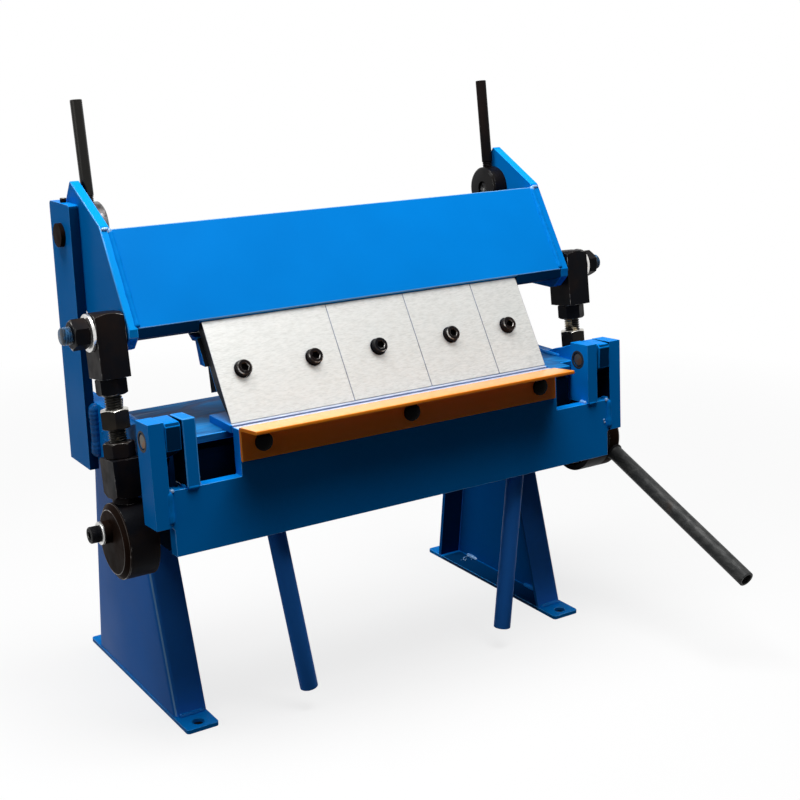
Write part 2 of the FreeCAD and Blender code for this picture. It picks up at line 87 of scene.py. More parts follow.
class Side(Enum):
    """The two ends of the brake, as signs along X."""

    LEFT = -1
    RIGHT = 1

    @property
    def word(self) -> str:
        """Name of the side as the nodes write it."""
        return self.name.lower()

    @property
    def signs(self) -> Array:
        """Factors that carry a point drawn for the right end to this side."""
        return np.array([self.value, 1.0, 1.0])


class Body(Enum):
    """Moving groups that a piece can ride on."""

    FRAME = "frame"
    BEAM = "finger_beam"
    LEFT_LINK = "left_link"
    RIGHT_LINK = "right_link"
    CLAMP = "clamp"
    LEFT_SETBACK = "left_setback_lever"
    RIGHT_SETBACK = "right_setback_lever"
    LEAF = "leaf"


class Slot(Enum):
    """Material slots of the record."""

    BLUE = "blue_paint"
    ORANGE = "orange_paint"
    FINGER = "finger_steel"
    BARE = "bare_steel"
    BLACK = "black_steel"
    MILL = "mill_steel"
    BRONZE = "bronze"


class Recipe:
    """Node tree of a material or of the world, put together step by step."""

    def __init__(self, owner: bpy.types.ID) -> None:
        """Start the owner's tree from nothing.

        Args:
            owner: the material or the world.
        """
        owner.use_nodes = True
        self.owner, self.tree = owner, owner.node_tree
        self.tree.nodes.clear()

    def add(self, kind: str, feeds: dict, **settings: object) -> bpy.types.Node:
        """Add a node, set its properties and fill its inputs.

        Args:
            kind: Blender's name of the node type.
            feeds: outputs or plain values by input; a tuple is a colour.
            settings: properties of the node by name.

        Returns:
            The new node.
        """
        node = self.tree.nodes.new(kind)
        for key, value in settings.items():
            setattr(node, key, value)
        for key, value in feeds.items():
            if isinstance(value, Socket):
                self.tree.links.new(value, node.inputs[key])
            else:
                node.inputs[key].default_value = (*value, 1.0) if isinstance(value, tuple) else value
        return node

    @cached_property
    def coords(self) -> Socket:
        """Object coordinates, added when a pattern first reads them."""
        return self.add("ShaderNodeTexCoord", {}).outputs["Object"]

    def math(self, operation: str, *values: object) -> Socket:
        """Result of a math node on the values."""
        return self.add("ShaderNodeMath", dict(enumerate(values)), operation=operation).outputs[0]

    def noise(self, size: float, detail: float = 2.0, stretch: Triple = (1, 1, 1),
              twist: float = 0.0) -> Socket:
        """Cloudy noise whose lumps are about size millimetres across.

        Args:
            size: width of a lump in millimetres.
            detail: octaves of finer noise.
            stretch: how many times longer the lumps are along each axis.
            twist: distortion.

        Returns:
            The noise's factor output.
        """
        scale = [1.0 / share for share in stretch]
        mapping = self.add("ShaderNodeMapping", {"Vector": self.coords, "Scale": scale})
        feeds = {"Vector": mapping.outputs["Vector"], "Scale": 0.5 / (size * MM), "Detail": detail,
                 "Distortion": twist}
        return self.add("ShaderNodeTexNoise", feeds).outputs[0]

    def span(self, value: object, low: float, high: float, to_low: float = 0.0,
             to_high: float = 1.0) -> Socket:
        """Map low..high of a value to to_low..to_high, clamped."""
        ends = dict(enumerate((value, low, high, to_low, to_high)))
        return self.add("ShaderNodeMapRange", ends, clamp=True).outputs[0]

    def clouds(self, size: float, detail: float, *ends: float) -> Socket:
        """Plain noise of a size and detail, mapped between ends as span does."""
        return self.span(self.noise(size, detail), *ends)

    def sum(self, first: object, second: object, weight: float = 1.0) -> Socket:
        """Return second times weight plus first."""
        return self.math("MULTIPLY_ADD", second, weight, first)

    def product(self, first: object, second: object) -> Socket:
        """Return first times second."""
        return self.math("MULTIPLY", first, second)

    def blend(self, factor: object, first: object, second: object) -> Socket:
        """Mix two colours by a factor."""
        return self.add("ShaderNodeMix", {0: factor, 6: first, 7: second}, data_type="RGBA").outputs[2]

    def under(self, axis: str, limit: float, fade: float, both_ways: bool = True) -> Socket:
        """Mask of the points whose coordinate is under a limit.

        Args:
            axis: X, Y or Z of the Object coordinates.
            limit: where the mask starts to fall from 1, in metres.
            fade: millimetres over which it falls to 0.
            both_ways: whether the coordinate's sign is left out.

        Returns:
            The mask.
        """
        place = self.add("ShaderNodeSeparateXYZ", {0: self.coords}).outputs[axis]
        if both_ways:
            place = self.math("ABSOLUTE", place)
        return self.span(place, limit, limit + fade * MM, 1.0, 0.0)

    def bump(self, height: object, depth: float) -> Socket:
        """Normal bent by a height field that is depth millimetres deep."""
        return self.add("ShaderNodeBump", {"Distance": depth * MM, "Height": height}).outputs[0]

    def close(self, kind: str, surface: Socket) -> bpy.types.ID:
        """End the tree with that kind of output node and return its owner."""
        self.add(kind, {"Surface": surface})
        return self.owner

    def serve(self, colour: object, roughness: object, metallic: object = 0.0,
              specular: float = 0.5, normal: Socket | None = None) -> bpy.types.Material:
        """Close the tree with one surface shader.

        Args:
            colour: colour output or tuple.
            roughness: output or number.
            metallic: output or number.
            specular: reflection strength off the dielectric, set on the socket.
            normal: bent normal, if any.

        Returns:
            The finished material.
        """
        feeds = {"Base Color": colour, "Roughness": roughness, "Metallic": metallic,
                 "Specular IOR Level": specular}
        if normal is not None:
            feeds["Normal"] = normal
        shader = self.add("ShaderNodeBsdfPrincipled", feeds)
        return self.close("ShaderNodeOutputMaterial", shader.outputs[0])


@dataclass(frozen=True)
class Finish:
    """A surface finish, made into a material the first time it is asked for."""

    name: str
    colour: Triple
    slot: Slot

    @cache
    def material(self) -> bpy.types.Material:
        """Return this finish's material, shared by every piece that has it."""
        return self.cook(Recipe(bpy.data.materials.new(self.name)))

    def cook(self, recipe: Recipe) -> bpy.types.Material:
        """Build the material; each kind of finish has its own way.

        Args:
            recipe: the empty tree.

        Returns:
            The finished material.
        """
        raise NotImplementedError


@dataclass(frozen=True)
class Enamel(Finish):
    """Sprayed machine enamel: cloudy tone, orange peel, thick and thin places."""

    slot: Slot = Slot.BLUE
    deep: Triple = (0.0, 0.0, 0.0)
    dull: float = 0.42
    sheen: float = 0.22
    flow: float = 0.10
    chips: float = 0.0
    bare: Triple = (0.10, 0.105, 0.11)

    def paint(self, recipe: Recipe) -> Socket:
        """The two tones blended by broad clouds."""
        return recipe.blend(recipe.clouds(40, 3.0, 0.3, 0.7), self.deep, self.colour)

    def rough(self, recipe: Recipe) -> Socket:
        """Roughness that wanders a little about the finish's own."""
        return recipe.clouds(38, 2.0, 0.3, 0.7, self.dull - 0.06, self.dull + 0.07)

    def cook(self, recipe: Recipe) -> bpy.types.Material:
        """Blend two tones by broad clouds, add dust nibs, orange peel and chips.

        Args:
            recipe: the empty tree.

        Returns:
            The finished material.
        """
        tone = recipe.blend(recipe.clouds(70, 3.0, 0.30, 0.70), self.deep, self.colour)
        tone = recipe.blend(recipe.clouds(9, 2.0, 0.35, 0.65, 0.0, 0.10), tone, self.deep)
        waves = recipe.sum(recipe.noise(24, 1.0), recipe.noise(1.6, 1.0), 0.10)
        height = recipe.sum(waves, recipe.clouds(1.1, 1.0, 0.66, 0.76), 0.12)
        if self.chips > 0.0:
            chipped = recipe.clouds(2.6, 3.0, 0.74 - self.chips, 0.78 - self.chips)
            tone = recipe.blend(chipped, tone, self.bare)
        return recipe.serve(tone, self.rough(recipe), 0.0, self.sheen, recipe.bump(height, self.flow))


@dataclass(frozen=True)
class PooledEnamel(Enamel):
    """Enamel that ran together on a level plate: thick and thin puddles, dry streaks."""

    dry: Triple = (0.11, 0.33, 0.62)
    drawn_out: Triple = (2.6, 1.0, 1.0)
    brushed: Triple = (7.0, 1.0, 1.0)

    def cook(self, recipe: Recipe) -> bpy.types.Material:
        """Blend the thick tone and the thin one by patches drawn out along the plate.

        Args:
            recipe: the empty tree.

        Returns:
            The finished material.
        """
        patches = recipe.noise(13, 4.0, self.drawn_out, 1.1)
        tone = recipe.blend(recipe.span(patches, 0.40, 0.62), self.deep, self.colour)
        streaks = recipe.span(recipe.noise(3.0, 4.0, self.brushed, 0.8), 0.60, 0.74, 0.0, 0.55)
        tone = recipe.blend(streaks, tone, self.dry)
        rough = recipe.span(patches, 0.35, 0.65, self.dull, self.dull + 0.16)
        height = recipe.sum(patches, recipe.noise(30, 1.0), 0.8)
        return recipe.serve(tone, rough, 0.0, self.sheen, recipe.bump(height, self.flow))


@dataclass(frozen=True)
class WornMouth(Enamel):
    """Enamel ground off in a band along the bend line, so that bare steel shows there; the steel's blue
    tint is a painted reflection of the blue paint.
    """

    # Steel tones tinted blue: a painted reflection of the blue paint.
    steel: Triple = (0.58, 0.64, 0.76)
    steel_dark: Triple = (0.42, 0.47, 0.60)
    half_x: float = 151.8
    rear_y: float = 3.6
    fade: float = 0.5
    ground: Triple = (8.0, 1.0, 1.0)

    def cook(self, recipe: Recipe) -> bpy.types.Material:
        """Bare steel where |x| is under half_x and y, from the bend, under rear_y.

        Args:
            recipe: the empty tree.

        Returns:
            The finished material.
        """
        bare = recipe.product(recipe.under("X", self.half_x * MM, self.fade),
                              recipe.under("Y", BEND_Y + self.rear_y * MM, self.fade, False))
        strokes = recipe.span(recipe.noise(0.6, 3.0, self.ground), 0.35, 0.62)
        metal = recipe.blend(strokes, self.steel_dark, self.steel)
        tone = recipe.blend(bare, self.paint(recipe), metal)
        rough = recipe.span(strokes, 0.0, 1.0, self.dull, self.dull - 0.06)
        return recipe.serve(tone, rough, recipe.product(bare, 0.45), self.sheen,
                            recipe.bump(strokes, 0.01))


@dataclass(frozen=True)
class ShelteredEnamel(Enamel):
    """Enamel on a foot plate, darker where the folded leg stands over it: painted shade."""

    # thin is the dark tone of the painted shade under the leg.
    thin: Triple = (0.0008, 0.042, 0.14)
    half_x: float = 194.5
    half_y: float = 77.5
    fade: float = 3.0

    def cook(self, recipe: Recipe) -> bpy.types.Material:
        """The painted shade tone where |x| is under half_x and |y| under half_y.

        Args:
            recipe: the empty tree.

        Returns:
            The finished material.
        """
        under = recipe.product(*(recipe.under(axis, half * MM, self.fade)
                                 for axis, half in (("X", self.half_x), ("Y", self.half_y))))
        tone = recipe.blend(under, self.paint(recipe), self.thin)
        return recipe.serve(tone, self.rough(recipe), 0.0, self.sheen,
                            recipe.bump(recipe.noise(24, 1.0), self.flow))


@dataclass(frozen=True)
class BlackOxide(Finish):
    """Oil-blackened steel, satin, with a little brown and rubbed places."""

    slot: Slot = Slot.BLACK
    brown: Triple = (0.030, 0.019, 0.013)
    bare: Triple = (0.46, 0.45, 0.43)
    dull: float = 0.40
    sheen: float = 0.20
    rubbed: float = 0.0
    grit: float = 0.03

    def cook(self, recipe: Recipe) -> bpy.types.Material:
        """Blend black and brown by clouds and let bare steel through where rubbed.

        Args:
            recipe: the empty tree.

        Returns:
            The finished material.
        """
        tone = recipe.blend(recipe.clouds(14, 3.0, 0.42, 0.72), self.colour, self.brown)
        rough = recipe.clouds(5, 2.0, 0.3, 0.7, self.dull - 0.08, self.dull + 0.10)
        height = recipe.sum(recipe.noise(0.8, 2.0), recipe.noise(7, 1.0), 1.2)
        metal = 0.0
        if self.rubbed > 0.0:
            bare = recipe.clouds(3.2, 3.0, 0.72 - 0.4 * self.rubbed, 0.92 - 0.4 * self.rubbed)
            tone, metal = recipe.blend(bare, tone, self.bare), recipe.product(bare, 0.9)
        return recipe.serve(tone, rough, metal, self.sheen, recipe.bump(height, self.grit))


@dataclass(frozen=True)
class GroundSteel(Finish):
    """Bright steel, ground or brushed in short strokes along one axis."""

    slot: Slot = Slot.FINGER
    dark: Triple = (0.45, 0.45, 0.45)
    grain: Triple = (9.0, 1.0, 1.0)
    stroke: float = 0.55
    dull: float = 0.42
    depth: float = 0.012
    metal: float = 0.92

    def cook(self, recipe: Recipe) -> bpy.types.Material:
        """Stretch fine noise along the stroke for colour, roughness and height.

        Args:
            recipe: the empty tree.

        Returns:
            The finished material.
        """
        strokes = recipe.noise(self.stroke, 3.0, self.grain, 0.3)
        flecks = recipe.noise(self.stroke * 2.4, 2.0, tuple(math.sqrt(g) * 1.6 for g in self.grain))
        pattern = recipe.sum(recipe.product(strokes, 0.62), flecks, 0.38)
        tone = recipe.blend(recipe.span(pattern, 0.34, 0.60), self.dark, self.colour)
        worn = recipe.product(recipe.clouds(34, 2.0, 0.3, 0.7), 0.16)
        tone = recipe.blend(worn, tone, self.dark)
        rough = recipe.span(pattern, 0.35, 0.65, self.dull + 0.10, self.dull - 0.06)
        return recipe.serve(tone, rough, self.metal, 0.5, recipe.bump(pattern, self.depth))


@dataclass(frozen=True)
class MillScale(Finish):
    """Hot-rolled tube: dark scale with paler flakes and long handling scratches."""

    slot: Slot = Slot.MILL
    pale: Triple = (0.050, 0.051, 0.050)
    scratch: Triple = (0.24, 0.235, 0.23)
    rust: Triple = (0.085, 0.052, 0.034)
    run: Triple = (1.0, 3.2, 1.6)
    scratch_run: Triple = (4.0, 12.8, 6.4)

    def cook(self, recipe: Recipe) -> bpy.types.Material:
        """Break a dark tone with flakes, scratches and a little rust.

        Args:
            recipe: the empty tree.

        Returns:
            The finished material.
        """
        flakes = recipe.span(recipe.noise(1.5, 5.0, self.run, 0.6), 0.42, 0.66)
        scratches = recipe.span(recipe.noise(0.7, 2.0, self.scratch_run), 0.60, 0.68)
        tone = recipe.blend(flakes, self.colour, self.pale)
        tone = recipe.blend(recipe.product(scratches, 0.10), tone, self.scratch)
        tone = recipe.blend(recipe.clouds(11, 3.0, 0.60, 0.80, 0.0, 0.35), tone, self.rust)
        height = recipe.sum(flakes, recipe.noise(1.2, 2.0), 0.5)
        rough = recipe.span(flakes, 0.0, 1.0, 0.47, 0.42)
        return recipe.serve(tone, rough, recipe.product(flakes, 0.12), 0.16, recipe.bump(height, 0.05))


@dataclass(frozen=True)
class TintedSteel(Finish):
    """Turned steel with patches of another tint on it, such as overspray or zinc."""

    slot: Slot = Slot.BLACK
    tint: Triple = (0.3, 0.3, 0.3)
    cover: float = 0.5
    dull: float = 0.34
    metal: float = 0.85
    patch: float = 4.0

    def cook(self, recipe: Recipe) -> bpy.types.Material:
        """Lay the tint over the steel where a noise is high enough.

        Args:
            recipe: the empty tree.

        Returns:
            The finished material.
        """
        laid = recipe.clouds(self.patch, 3.0, 0.70 - 0.4 * self.cover, 0.80 - 0.4 * self.cover)
        tone = recipe.blend(laid, self.colour, self.tint)
        fine = recipe.noise(0.6, 2.0)
        rough = recipe.span(fine, 0.3, 0.7, self.dull - 0.06, self.dull + 0.10)
        return recipe.serve(tone, rough, self.metal, 0.4, recipe.bump(fine, 0.010))


SPRAYED = {"colour": (0.0008, 0.245, 0.78), "deep": (0.0007, 0.205, 0.67)}
BLUE = Enamel("blue_enamel", **SPRAYED, sheen=0.018)
# Foot plates: darker under the legs as painted shade.
BLUE_FOOT = ShelteredEnamel("blue_enamel_on_foot", **SPRAYED, sheen=0.018)
# Ground-off band of the bend line: real bare steel, tinted blue as a painted reflection.
MOUTH = WornMouth("blue_enamel_ground_off", **SPRAYED, sheen=0.05)
# Lighter blue on bevelled edges: a painted highlight, with a few real chips.
BLUE_EDGE_HIGHLIGHT = Enamel("blue_enamel_edge", (0.003, 0.330, 0.90), deep=(0.002, 0.280, 0.80),
                   dull=0.26, sheen=0.40, chips=0.02)
BLUE_LIT = Enamel("blue_enamel_lit_edge", (0.0008, 0.345, 0.93), deep=(0.0007, 0.310, 0.86),
                  dull=0.40, sheen=0.03)
# Darker blue on the upright's front weld bead in its corner: painted shade.
BLUE_CORNER_SHADE = Enamel("blue_enamel_deep", (0.0010, 0.125, 0.42), deep=(0.0008, 0.090, 0.32),
                   dull=0.30, sheen=0.14, flow=0.16)
BLUE_POOL = PooledEnamel("blue_enamel_pooled", (0.016, 0.220, 0.56), deep=(0.002, 0.060, 0.20),
                         dull=0.34, sheen=0.022, flow=0.70)
BLUE_WELD = Enamel("blue_enamel_on_weld", (0.0012, 0.235, 0.76), deep=(0.001, 0.17, 0.58),
                   dull=0.26, sheen=0.10, flow=0.16)
# Pale, glossy blue on weld lumps, blobs and tacks: painted glints.
BLUE_PAINTED_GLINT = Enamel("blue_enamel_wet_blob", (0.300, 0.540, 0.86), deep=(0.110, 0.35, 0.76),
                    dull=0.12, sheen=0.75, flow=0.20)
# Darker blue on the legs' inner web faces: painted shade inside the channel.
BLUE_CHANNEL_SHADE = Enamel("blue_enamel_in_channel", (0.0010, 0.145, 0.52), deep=(0.0008, 0.100, 0.40),
                     dull=0.50, sheen=0.008)
BLUE_SHEET = Enamel("blue_enamel_on_sheet", (0.034, 0.240, 0.86), deep=(0.022, 0.185, 0.68),
                    dull=0.36, sheen=0.020, flow=0.22)
# Pale blue on the legs' bend crowns and the beam plate's bevels: a painted highlight along the arris, with
# a few real chips.
BLUE_ARRIS_HIGHLIGHT = Enamel("blue_enamel_on_arris", (0.170, 0.430, 0.82), deep=(0.120, 0.360, 0.74),
                    dull=0.26, sheen=0.30, chips=0.02)
# Dark navy on faces in shade (upright and nose fronts, beam bottom bar, shaft brackets, legs' rear
# flanges): painted shade.
BLUE_PAINTED_SHADE = Enamel("blue_enamel_thin_over_scale", (0.0012, 0.052, 0.165), deep=(0.0010, 0.030, 0.095),
                   dull=0.70, sheen=0.004, flow=0.16)
# Near-black blue on faces in gaps and recesses (bed front bar, under the cheeks' noses, between the ears):
# painted deep shade.
BLUE_PAINTED_DEEP_SHADE = Enamel("blue_enamel_overspray", (0.0012, 0.012, 0.036), deep=(0.0010, 0.007, 0.018),
                     dull=0.70, sheen=0.004)
ORANGE = Enamel("orange_enamel", (0.98, 0.285, 0.014), Slot.ORANGE, deep=(0.94, 0.210, 0.009),
                dull=0.24, sheen=0.06)
# Lighter orange on the shelf's upward faces: painted light on the top.
ORANGE_LIT_TOP = Enamel("orange_enamel_on_shelf", (0.98, 0.40, 0.035), Slot.ORANGE, deep=(0.96, 0.33, 0.025),
                    dull=0.20, sheen=0.55)
# Lighter orange on bevelled edges: a painted highlight, with a few real chips.
ORANGE_EDGE_HIGHLIGHT = Enamel("orange_enamel_edge", (0.98, 0.36, 0.04), Slot.ORANGE, deep=(0.95, 0.30, 0.03),
                     dull=0.24, sheen=0.30, chips=0.02)
BLACK = BlackOxide("black_oxide", (0.0052, 0.0056, 0.0075), brown=(0.016, 0.010, 0.008), sheen=0.035)
BLACK_EDGE = BlackOxide("black_oxide_rubbed", (0.014, 0.014, 0.014), rubbed=0.55, dull=0.34, sheen=0.16)
BLACK_SATIN = BlackOxide("black_oxide_satin", (0.004, 0.004, 0.005), brown=(0.008, 0.006, 0.005),
                         dull=0.22, sheen=0.09)
BLACK_BROWN = BlackOxide("black_oxide_brown", (0.012, 0.007, 0.005), brown=(0.026, 0.012, 0.008),
                         dull=0.42, sheen=0.008)
BLACK_DULL = BlackOxide("black_paint_dull", (0.004, 0.005, 0.006), brown=(0.007, 0.007, 0.008),
                        dull=0.60, sheen=0.03)
BOLT = BlackOxide("black_paint_on_bolt", (0.0016, 0.0018, 0.0022), brown=(0.003, 0.003, 0.003),
                  dull=0.46, sheen=0.02)
NUT_BROWN = BlackOxide("black_oxide_nut", (0.015, 0.012, 0.009), brown=(0.060, 0.046, 0.033),
                       dull=0.32, sheen=0.10)
FINGER = GroundSteel("ground_finger_face", (0.70, 0.705, 0.685), dark=(0.52, 0.525, 0.505),
                     grain=(6.0, 1.0, 1.0), stroke=0.36, metal=0.62)
# Near black on the fingers' flanks, back and ends: painted shade.
FINGER_SIDE_SHADE = BlackOxide("finger_side", (0.016, 0.017, 0.019), Slot.FINGER, brown=(0.03, 0.03, 0.03),
                         dull=0.45)
# Bluish grey on the fingers' bevels: dark joint lines, with a blue tint that paints the blue paint's
# reflection.
FINGER_EDGE = GroundSteel("finger_edge", (0.40, 0.42, 0.50), dark=(0.22, 0.24, 0.31), dull=0.40, metal=0.5)
BRIGHT = GroundSteel("bright_turned_steel", (0.80, 0.79, 0.77), Slot.BARE, dark=(0.50, 0.49, 0.47),
                     grain=(1.0, 1.0, 1.0), stroke=0.9, dull=0.30)
PIN_END = TintedSteel("hinge_pin_end", (0.105, 0.098, 0.082), Slot.BARE, tint=(0.170, 0.070, 0.026),
                      metal=0.55, dull=0.40)
# Near black on the pins' chamfers and sides and on thin rings at the bores: painted shade of the gap round
# each pin.
PIN_GAP_SHADE = TintedSteel("hinge_pin_rim", (0.006, 0.008, 0.012), Slot.BARE, tint=(0.012, 0.009, 0.008),
                      cover=0.3, metal=0.1, dull=0.60)
STUD = TintedSteel("stud_thread", (0.016, 0.030, 0.048), tint=(0.020, 0.105, 0.230),
                   cover=0.60, metal=0.30, patch=3.0)
# Cream patches on the link threads: a yellowish zinc tint, made pale to paint the highlights along the
# thread.
ROD_THREAD = TintedSteel("link_thread", (0.022, 0.021, 0.018), tint=(0.50, 0.43, 0.30),
                         cover=0.46, metal=0.7, patch=6.0)
# Bright patches on the eccentrics' rim arcs: painted glints.
RIM_PAINTED_GLINT = TintedSteel("rubbed_rim", (0.030, 0.024, 0.021), tint=(0.34, 0.32, 0.30),
                        cover=0.42, metal=0.8, dull=0.26, patch=9.0)
# Bright steel on the middle nut's upward faces: a painted highlight.
NUT_TOP_HIGHLIGHT = TintedSteel("rubbed_nut_top", (0.62, 0.60, 0.55), tint=(0.14, 0.12, 0.09),
                      cover=0.35, dull=0.28, patch=5.0)
LEVER_STEEL = TintedSteel("lever_rod_steel", (0.014, 0.0135, 0.012), tint=(0.034, 0.031, 0.026),
                          cover=0.35, metal=0.75, dull=0.26, patch=12.0)
CAM_STEEL = TintedSteel("cam_steel", (0.19, 0.188, 0.19), tint=(0.045, 0.042, 0.042),
                        cover=0.45, metal=0.9, dull=0.30, patch=6.0)
SCALE = MillScale("mill_scale", (0.020, 0.021, 0.021))
BUSH = TintedSteel("bearing_bronze", (0.62, 0.42, 0.20), Slot.BRONZE, tint=(0.30, 0.18, 0.08),
                   cover=0.3, metal=0.95, dull=0.32)


def unit(vectors: Array) -> Array:
    """Scale vectors along the last axis to length one."""
    return vectors / np.maximum(np.linalg.norm(vectors, axis=-1, keepdims=True), 1e-12)


def to_frame(points: Array) -> Array:
    """Turn drawing millimetres into the frame's metres."""
    return np.asarray(points, float) * MM + (0.0, BEND_Y, 0.0)


def drawn(points: Array) -> Array:
    """Turn the frame's metres into drawing millimetres."""
    return (np.asarray(points, float) - (0.0, BEND_Y, 0.0)) / MM


def read(items: bpy.types.bpy_prop_collection, field: str) -> Array:
    """Read three numbers of each vertex or face of a mesh.

    Args:
        items: the mesh's vertices or faces.
        field: what is read, such as "co" or "normal".

    Returns:
        An (n, 3) array.
    """
    values = np.zeros(3 * len(items))
    items.foreach_get(field, values)
    return values.reshape(-1, 3)


def rounded(corners: Sequence[Sequence[float]], radii: object, steps: int = 4,
            closed: bool = True) -> Array:
    """Outline whose corners are arcs.

    Each corner is replaced by points on the arc that touches both of its sides:
    the arc's centre lies on the bisector, and its points are spherical blends
    between the two tangent points.

    Args:
        corners: the outline's corners, in a plane.
        radii: one radius for all corners, or one for each.
        steps: divisions of each arc.
        closed: whether the last corner joins the first.

    Returns:
        The outline's points as an (n, 2) array.
    """
    points = np.asarray(corners, float)
    radius = np.maximum(np.broadcast_to(np.asarray(radii, float), len(points)), 1e-4)
    back, ahead = (unit(np.roll(points, shift, 0) - points) for shift in (1, -1))
    half = 0.5 * np.arccos(np.clip((back * ahead).sum(-1), -1.0, 1.0))
    reach = (radius / np.tan(half))[:, None]
    centre = points + unit(back + ahead) * (radius / np.sin(half))[:, None]
    start, end = points + back * reach - centre, points + ahead * reach - centre
    share = np.linspace(0.0, 1.0, steps + 1)[None, :, None]
    sweep = (math.pi - 2.0 * half)[:, None, None]
    arcs = centre[:, None] + (np.sin((1 - share) * sweep) * start[:, None]
                              + np.sin(share * sweep) * end[:, None]) / np.sin(sweep)
    if closed:
        return arcs.reshape(-1, 2)
    return np.vstack([points[:1], arcs[1:-1].reshape(-1, 2), points[-1:]])


def grid_mesh(name: str, points: Array, along: bool = False, caps: bool = False,
              edge_rows: Sequence[int] = (), crease: float = 32.0) -> bpy.types.Mesh:
    """Mesh of one or more grids of points, each closed across its columns.

    A quad joins points (i, j), (i, j+1), (i+1, j+1) and (i+1, j). The last column
    meets the first, and the last row meets the first when along is set.

    Args:
        name: the mesh's name.
        points: (rows, columns, 3) or (shells, rows, columns, 3) drawing millimetres.
        along: close the grid across its rows.
        caps: close the two ends with flat faces.
        edge_rows: rows of quads that take the second material.
        crease: angle in degrees above which an edge stays sharp.

    Returns:
        A closed mesh in the frame, with its faces outwards.
    """
    shells = points[None] if points.ndim == 3 else points
    count, rows, columns = shells.shape[:3]
    index = np.arange(count * rows * columns).reshape(count, rows, columns)
    ends = np.concatenate([index[:, 0, ::-1], index[:, -1]]).tolist() if caps else []
    index = np.concatenate([index, index[:, :, :1]], axis=2)
    if along:
        index = np.concatenate([index, index[:, :1]], axis=1)
    quads = np.stack([index[:, :-1, :-1], index[:, :-1, 1:], index[:, 1:, 1:], index[:, 1:, :-1]], -1)
    row_of = np.broadcast_to(np.arange(quads.shape[1])[None, :, None], quads.shape[:3]).reshape(-1)
    mesh = bpy.data.meshes.new(name)
    mesh.from_pydata(to_frame(shells.reshape(-1, 3)).tolist(), [], quads.reshape(-1, 4).tolist() + ends)
    slots = np.zeros(len(mesh.polygons), np.int32)
    slots[:len(row_of)] = np.isin(row_of, list(edge_rows))
    mesh.polygons.foreach_set("material_index", slots)
    work = bmesh.new()
    work.from_mesh(mesh)
    bmesh.ops.remove_doubles(work, verts=work.verts, dist=2e-7)
    bmesh.ops.recalc_face_normals(work, faces=work.faces)
    pour(work, mesh)
    shade(mesh, crease)
    return mesh


def pour(work: bmesh.types.BMesh, mesh: bpy.types.Mesh) -> None:
    """Write a work mesh into a mesh and free it."""
    work.to_mesh(mesh)
    work.free()


def shade(mesh: bpy.types.Mesh, crease: float) -> None:
    """Shade smooth, but leave edges sharper than crease degrees sharp."""
    mesh.polygons.foreach_set("use_smooth", np.ones(len(mesh.polygons), bool))
    mesh.set_sharp_from_angle(angle=math.radians(crease))


def share_out(mesh: bpy.types.Mesh, choose: Chooser) -> None:
    """Give each face the material index that choose returns for its centre and normal."""
    indices = choose(drawn(read(mesh.polygons, "center")), read(mesh.polygons, "normal"))
    mesh.polygons.foreach_set("material_index", indices.astype(np.int32))


def add_bevel(shown: bpy.types.Object, width: float, slot: int) -> None:
    """Round a piece's sharp edges.

    Args:
        shown: the piece.
        width: the bevel's width in millimetres.
        slot: index of the material that the new faces take.
    """
    bevel = shown.modifiers.new("soft_edges", "BEVEL")
    bevel.width = width * MM
    bevel.segments = 2
    bevel.limit_method = "ANGLE"
    bevel.angle_limit = math.radians(38.0)
    bevel.material = slot
    bevel.harden_normals = True
    bevel.miter_outer = "MITER_ARC"


def keep_flat(shown: bpy.types.Object) -> None:
    """Let each vertex take its normal from the largest face it touches.

    Args:
        shown: the piece.
    """
    flat = shown.modifiers.new("flat_faces", "WEIGHTED_NORMAL")
    flat.mode = "FACE_AREA"
    flat.weight = 100
    flat.keep_sharp = True


def piece(name: str, mesh: bpy.types.Mesh, body: Body, finishes: Sequence[Finish],
          replaces: Sequence[str] = (), soften: float = 0.0) -> bpy.types.Object:
    """Put a mesh in the scene as a dressed piece of the brake.

    Args:
        name: the piece's name.
        mesh: its mesh, in the frame.
        body: the body it rides on.
        finishes: its materials, in the order of the mesh's indices.
        replaces: nodes that it stands for.
        soften: width in millimetres of a bevel on its sharp edges, or 0.

    Returns:
        The new object.
    """
    shown = bpy.data.objects.new(name, mesh)
    bpy.context.scene.collection.objects.link(shown)
    for finish in finishes:
        mesh.materials.append(finish.material())
    if soften > 0.0:
        add_bevel(shown, soften, len(finishes) - 1)
    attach(shown, body.value)
    if replaces:
        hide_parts(*replaces)
    LOG.info("%s: %d faces on %s", name, len(mesh.polygons), body.value)
    return shown


def formed(name: str, points: Array, body: Body, finishes: Sequence[Finish], replaces: Sequence[str] = (),
           soften: float = 0.0, choose: Chooser | None = None, **shape: object) -> None:
    """Make a piece from grids of points.

    Args:
        name: the piece's name.
        points: its grids, in drawing millimetres.
        body: the body it rides on.
        finishes: its materials.
        replaces: nodes that it stands for.
        soften: width in millimetres of a bevel on its sharp edges, or 0.
        choose: from face centres and normals, the material index of each face.
        shape: further settings of grid_mesh.
    """
    mesh = grid_mesh(name, points, **shape)
    if choose is not None:
        share_out(mesh, choose)
    piece(name, mesh, body, finishes, replaces, soften)


